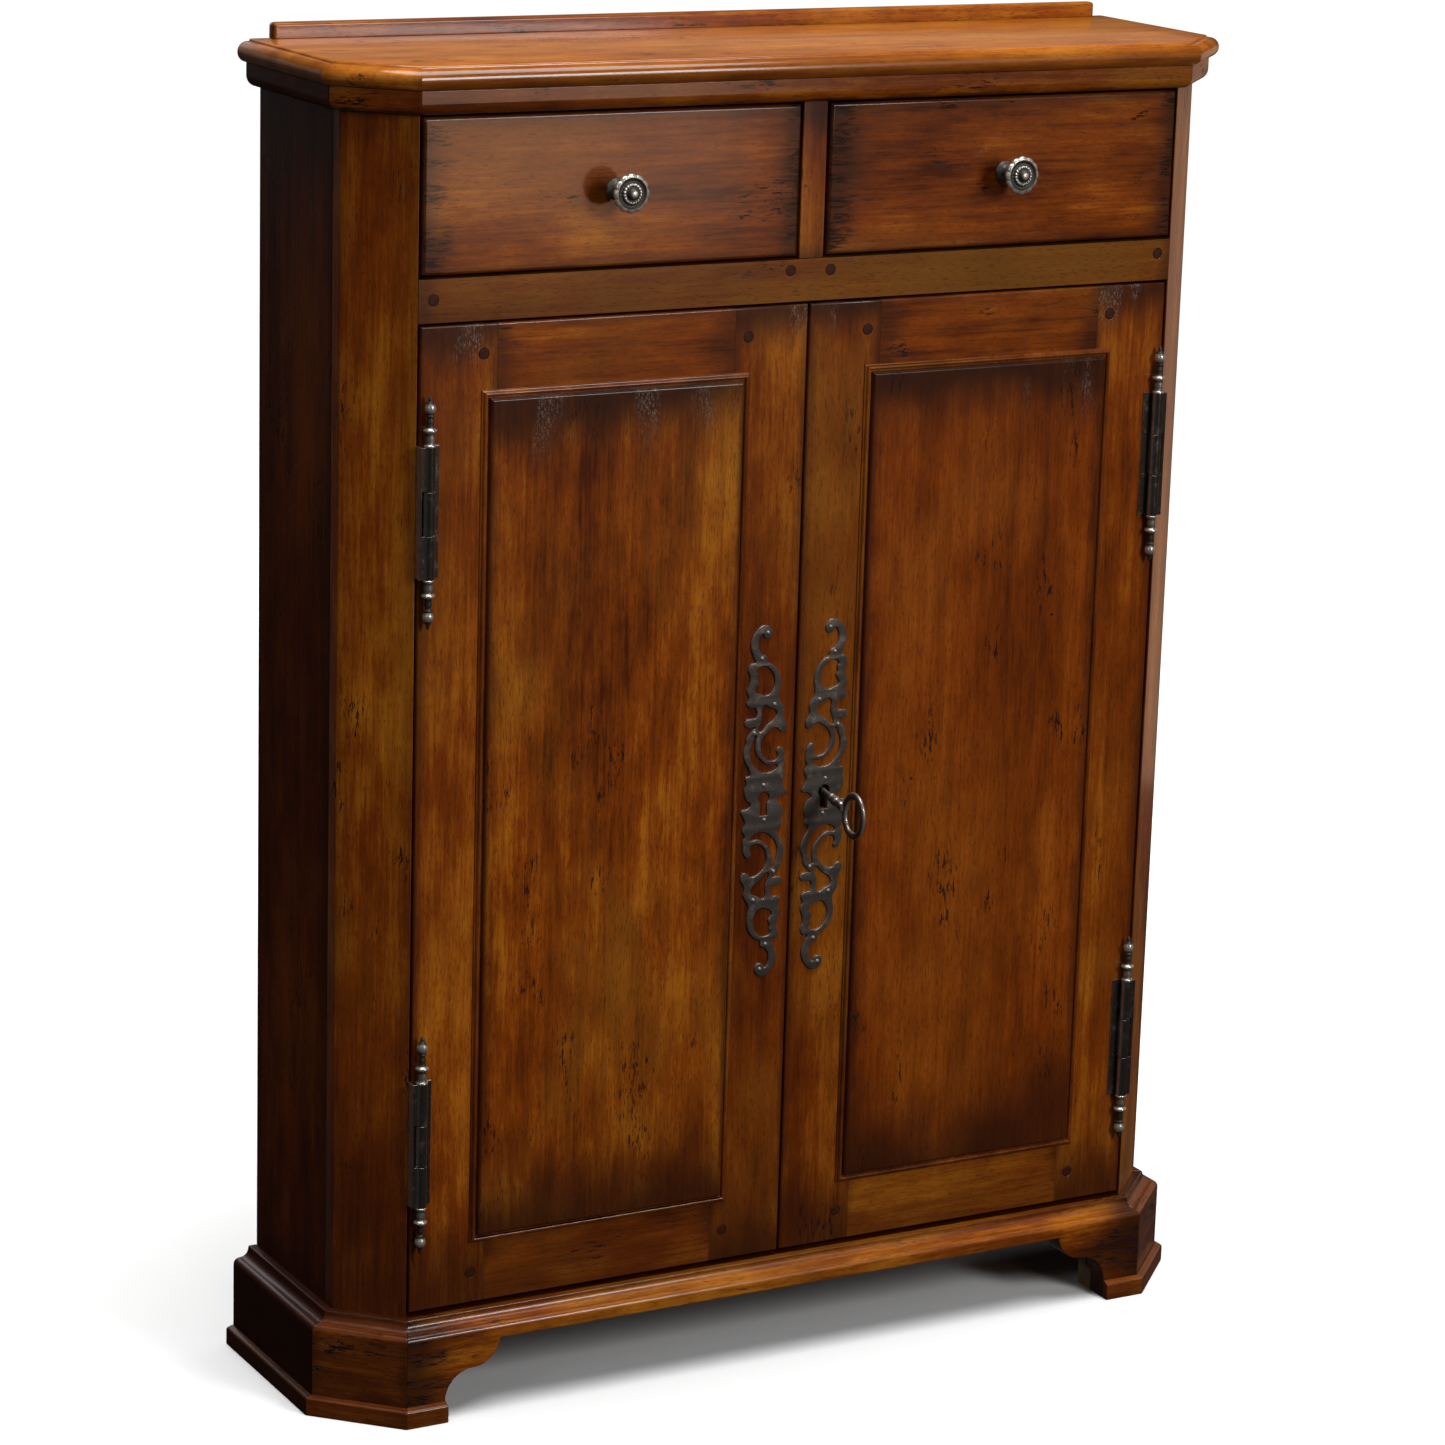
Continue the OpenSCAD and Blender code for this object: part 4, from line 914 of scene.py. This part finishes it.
plateShape = {
    # In mm from the plate's middle; each loop and nail comes again, turned half round.
    # Up the left side from the bite in the middle, round the hook, and down the right side.
    "half": [
        (-13.2, -0.6), (-17.0, 3.4), (-19.4, 8.0), (-20.0, 12.8), (-18.2, 18.8),
        (-19.0, 24.6), (-15.0, 26.4), (-15.2, 30.2), (-20.4, 40.2), (-22.0, 48.4), (-19.4, 56.0),
        (-19.2, 60.4), (-13.6, 68.0), (-11.0, 70.4), (-16.4, 70.6), (-21.2, 72.8), (-20.8, 77.0),
        (-16.2, 78.6), (-10.6, 79.2), (-11.0, 88.0), (-16.8, 89.2), (-20.0, 91.6), (-18.2, 98.4),
        (-20.2, 103.4), (-18.2, 110.4), (-17.4, 117.4), (-19.4, 123.6), (-17.2, 128.6),
        (-12.2, 130.2), (-14.2, 134.6), (-17.6, 146.4), (-12.8, 158.2), (-4.0, 163.2), (2.6, 159.4),
        (3.6, 154.4), (0.8, 151.0), (-3.6, 151.8), (-5.6, 155.6), (-8.6, 153.6), (-10.2, 146.2),
        (-6.6, 137.4), (-1.6, 134.6), (-0.6, 129.6), (4.4, 127.0), (10.2, 121.0), (13.6, 109.8),
        (12.6, 99.4), (12.4, 95.6), (17.8, 85.4), (17.2, 78.0), (21.2, 68.8), (18.6, 64.2),
        (14.2, 65.6), (11.4, 68.4), (2.0, 65.4), (-4.6, 57.0), (-4.6, 49.0), (-0.6, 41.2),
        (5.6, 37.8), (11.2, 38.8), (13.2, 43.2), (11.6, 47.6), (14.4, 50.2), (18.4, 47.2),
        (19.6, 40.4), (19.6, 33.4), (18.2, 30.6), (20.8, 24.8), (18.4, 17.4), (20.2, 12.4),
        (22.6, 6.2), (17.0, 4.6),
    ],
    # The D under the hook, the triangle and the crescent.
    "holes": [
        [(-6.0, 126.0), (2.4, 123.0), (7.8, 112.4), (6.2, 103.8), (1.2, 99.0), (-5.6, 99.8),
         (-12.0, 104.4), (-8.6, 111.4), (-10.4, 115.0), (-9.8, 119.6), (-11.6, 122.0)],
        [(-2.9, 90.1), (3.0, 87.9), (10.8, 82.7), (8.4, 76.8), (1.4, 71.8), (-5.4, 65.6), (-7.4, 66.0),
         (-4.8, 78.0)],
        [(-9.6, 63.0), (-13.4, 57.2), (-15.6, 49.4), (-14.8, 40.4), (-8.8, 32.0), (0.1, 27.3),
         (8.8, 28.6), (13.0, 33.2), (3.8, 34.4), (-4.2, 40.2), (-9.4, 47.4), (-10.0, 56.2)],
    ],
    "nails": [(-0.8, 16.2), (-12.0, 65.4), (7.9, 90.2), (-6.2, 133.2), (-1.0, 156.2)],
    # (radius, reach from the plate's face)
    "nail": ((0, -0.6), (2.0, -0.6), (2.0, 0.1), (1.8, 0.6), (1.3, 1.0), (0.7, 1.25), (0, 1.35)),
    "halfThick": 0.55, "rim": 0.42, "middle": 1.0, "face": 1.9,
    "eye": 6.0, "eyeUp": 4.3, "slotHalf": 4.1, "slotEnd": -12.5,
}


def withTurned(loop):
    return [loop, [(-u, -v) for u, v in loop]]


def plateLoops():
    # The outline, every hole, and the keyhole apart, because it has corners.
    p = plateShape
    outer = sum(withTurned(p["half"]), [])
    holes = sum((withTurned(hole) for hole in p["holes"]), [])
    eye = arc(0, p["eyeUp"], p["eye"], -55, 235, 24)
    return [outer, *holes], eye + [(-p["slotHalf"], p["slotEnd"]), (p["slotHalf"], p["slotEnd"])]


def plateMesh():
    # The plate lying flat, as one filled curve with thickness and a rounded rim.
    curve = bpy.data.curves.new("plate", "CURVE")
    curve.dimensions = "2D"
    curve.fill_mode = "BOTH"
    curve.extrude = plateShape["halfThick"] * mm
    curve.bevel_depth = plateShape["rim"] * mm
    curve.bevel_resolution = 2
    curve.offset = -plateShape["rim"] * mm
    loops, keyhole = plateLoops()
    for loop in loops:
        spline = curve.splines.new("BEZIER")
        spline.bezier_points.add(len(loop) - 1)
        for point, (u, v) in zip(spline.bezier_points, loop):
            point.co = (u * mm, v * mm, 0)
            point.handle_left_type = "AUTO"
            point.handle_right_type = "AUTO"
        spline.use_cyclic_u = True
        spline.resolution_u = 6
    spline = curve.splines.new("POLY")
    spline.points.add(len(keyhole) - 1)
    for point, (u, v) in zip(spline.points, keyhole):
        point.co = (u * mm, v * mm, 0, 1)
    spline.use_cyclic_u = True
    holder = bpy.data.objects.new("plate", curve)
    bpy.context.scene.collection.objects.link(holder)
    bpy.context.view_layer.update()
    mesh = bpy.data.meshes.new_from_object(holder.evaluated_get(bpy.context.evaluated_depsgraph_get()))
    bpy.data.objects.remove(holder)
    bpy.data.curves.remove(curve)
    return mesh


def makePlate(side):
    low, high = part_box(side + "_escutcheon")
    middle = Vector(((low.x + high.x) / 2, high.y, (low.z + high.z) / 2))
    flip = 1 if side == "left" else -1
    bm = bmesh.new()
    flat = plateMesh()
    bm.from_mesh(flat)
    bpy.data.meshes.remove(flat)
    upright = Matrix.Rotation(pi / 2, 4, "X") @ Matrix.Diagonal((flip, 1, 1, 1))
    forward = Vector((0, -plateShape["middle"] * mm, 0))
    bmesh.ops.transform(bm, verts=bm.verts, matrix=Matrix.Translation(middle + forward) @ upright)
    place(side + "_escutcheon_piece", bm, side + "_door", [side + "_escutcheon"], "iron", plateIron,
          angle=50)
    bm = bmesh.new()
    profile = [(r * mm, h * mm) for r, h in plateShape["nail"]]
    for u, v in sum(withTurned(plateShape["nails"]), []):
        centre = middle + Vector((u * flip * mm, -plateShape["face"] * mm, v * mm))
        spun(bm, profile, centre, (0, -1, 0), 20)
    place(side + "_nails_piece", bm, side + "_door", [side + "_escutcheon_nails"], "nail_iron",
          nailIron, angle=50)


for side in ("left", "right"):
    makePlate(side)
print("key plates made")


keyShape = {
    "droop": 10,        # degrees
    # (radius, reach) of the shank in mm, then the bow and the bit's opposite corners
    "shank": ((0, -17), (2.5, -17), (2.6, 13.6), (3.2, 14.4), (4.2, 15), (4.3, 16.4), (4.1, 17.4),
              (3.1, 18.2), (3.0, 19.6), (3.4, 20.6), (4.6, 21.4), (4.8, 23), (4.6, 24.6), (3.5, 25.6),
              (3.0, 27.4), (3.2, 29.4), (4.0, 30.6), (4.1, 32.2), (3.7, 33.8), (2.7, 35.2), (3.0, 36.2),
              (4.4, 37.2), (4.9, 38.6), (4.6, 40), (3.2, 41), (0, 41.6)),
    "bowMid": 56.33, "bowUp": 22, "bowAcross": 19, "bowThick": 5.2, "bowRim": 6.0,
    "bit": ((-1, 13.0, -11), (1, 17.5, -1)),
    "bowSides": 16,
}


def makeKey():
    d = keyShape
    origin = next(Vector(j["pos_m"]) for j in frame["joints"] if j["name"] == "key_turn")
    bm = bmesh.new()
    spun(bm, [(r * mm, h * mm) for r, h in d["shank"]], Vector(), (0, -1, 0), 32)
    boxMesh(bm, *(Vector(corner) * mm for corner in d["bit"]))
    # The bow: an oval ring of rounded section, made as a turned ring and then stretched upright.
    ring = bmesh.new()
    half, flat = d["bowRim"] / 2, d["bowThick"] / 2
    section = []
    sides = d["bowSides"]
    for k in range(sides):
        a = 2 * pi * k / sides
        section.append(ring.verts.new((flat * mm * cos(a), 0,
                                       (d["bowAcross"] - half + half * sin(a)) * mm)))
    edges = [ring.edges.new((section[k], section[(k + 1) % sides])) for k in range(sides)]
    bmesh.ops.spin(ring, geom=section + edges, cent=(0, 0, 0), axis=(1, 0, 0), angle=2 * pi,
                   steps=64, use_merge=True)
    for v in ring.verts:
        v.co.z *= d["bowUp"] / d["bowAcross"]
        v.co.y -= d["bowMid"] * mm
    joined(bm, ring)
    bmesh.ops.transform(bm, verts=bm.verts, matrix=Matrix.Translation(origin)
                        @ Matrix.Rotation(radians(d["droop"]), 4, "X"))
    material = ironPaint("key_iron", base=(0.075, 0.062, 0.052), bright=(0.48, 0.42, 0.35), rim=0.55,
                         rust=0.3, rough=0.34, face="X")
    place("key_piece", bm, "key", ["key"], "iron", material, angle=40)


makeKey()
for node, body in (("lock_case", "right_door"), ("lock_bolt", "lock_bolt"),
                   ("door_bolt_plate", "left_door"), ("door_bolt", "door_bolt")):
    softened(node, body, ironPaint(node + "_paint", rim=0.5), "iron", 0.3 * mm)
print("key and locks made")


view = {
    "at": (-1.9611, plan["front"] - 3.4, 1.6151),
    "azimuth": 29.023, "elevation": 14.542, "roll": 1.691,
    "lens": 112.98,
}
studio = {"floor": 60, "wall": 55, "wallHeight": 60, "paint": 0.92, "sky": 0.03}


def makeCamera():
    az, el, roll = (radians(view[k]) for k in ("azimuth", "elevation", "roll"))
    back = Vector((-sin(az) * cos(el), -cos(az) * cos(el), sin(el)))
    right = (-back).cross(Vector((0, 0, 1))).normalized()
    up = right.cross(-back)
    r = right * cos(roll) + up * sin(roll)
    u = -right * sin(roll) + up * cos(roll)
    data = bpy.data.cameras.new("camera")
    data.lens = view["lens"]
    data.sensor_width = 36
    data.clip_end = 200
    camera = bpy.data.objects.new("camera", data)
    bpy.context.scene.collection.objects.link(camera)
    turn = Matrix((r, u, back)).transposed().to_4x4()
    camera.matrix_world = Matrix.Translation(view["at"]) @ turn
    bpy.context.scene.camera = camera


makeCamera()


def stagePiece(name, bm, colour, fixed):
    # Part of the studio: the object takes no reflection and no bounced light from it.
    mesh = bpy.data.meshes.new(name)
    bm.to_mesh(mesh)
    bm.free()
    piece = bpy.data.objects.new(name, mesh)
    bpy.context.scene.collection.objects.link(piece)
    mesh.materials.append(Paint(name + "_paint").finish(
        colour, 0.9, fixed={"Specular IOR Level": 0.0, **fixed}))
    piece.visible_glossy = False
    piece.visible_diffuse = False
    return piece


def makeFloor():
    bm = bmesh.new()
    bmesh.ops.create_grid(bm, x_segments=1, y_segments=1, size=studio["floor"])
    floor = stagePiece("floor", bm, (*[studio["paint"]] * 3, 1), {})


makeFloor()


def makeBackdrop():
    # A white wall far round the floor, so that a low view ends in white and not in the dark sky.
    bm = bmesh.new()
    bmesh.ops.create_cone(bm, cap_ends=False, segments=96, radius1=studio["wall"],
                          radius2=studio["wall"], depth=studio["wallHeight"])
    backdrop = stagePiece("backdrop", bm, (0, 0, 0, 1), {
        "Emission Color": (1, 1, 1, 1), "Emission Strength": 1.0})
    backdrop.data.materials[0].cycles.emission_sampling = "NONE"
    backdrop.visible_shadow = False


makeBackdrop()


def lamp(name, kind, at, aim, power, size=1.0, colour=(1, 1, 1), sizeY=None):
    data = bpy.data.lights.new(name, kind)
    data.energy = power
    data.color = colour
    if kind == "AREA":
        data.shape = "RECTANGLE"
        data.size = size
        data.size_y = sizeY or size
    if kind == "SUN":
        data.angle = radians(size)
    light = bpy.data.objects.new(name, data)
    bpy.context.scene.collection.objects.link(light)
    light.location = at
    light.rotation_euler = (Vector(aim) - Vector(at)).to_track_quat("-Z", "Y").to_euler()


warm = (1.0, 0.62, 0.42)
lamp("overhead", "SUN", (0.12, -0.5, 4), (0, 0, 0), 3.5, 45)
lamp("front_soft", "AREA", (1.1, -3.0, 1.9), (0, 0, 0.7), 50, 0.9)
lamp("left_fill", "AREA", (-3.2, -2.2, 2.4), (0, 0, 0.7), 9, 0.7)
lamp("low_sheen", "AREA", (1.2, -3.0, 0.75), (-0.25, 0, 1.05), 3.0, 0.65, warm, 0.35)
lamp("right_sheen", "AREA", (2.2, 1.0, 0.55), (0.43, -0.05, 0.9), 1.8, 1.2, warm)
lamp("back_sheen", "AREA", (1.6, 3.2, 2.2), (0, 0, 1.15), 2.6, 2.4, warm, 1.0)
lamp("back_fill", "AREA", (-0.2, 3.6, 1.6), (0, 0, 0.7), 45, 1.4)

world = bpy.data.worlds.new("studio")
world.use_nodes = True
sky = world.node_tree.nodes["Background"].inputs
sky[0].default_value = (1, 1, 1, 1)
sky[1].default_value = studio["sky"]
bpy.context.scene.world = world
bpy.context.scene.view_settings.view_transform = "Standard"
print("camera, floor and light set")
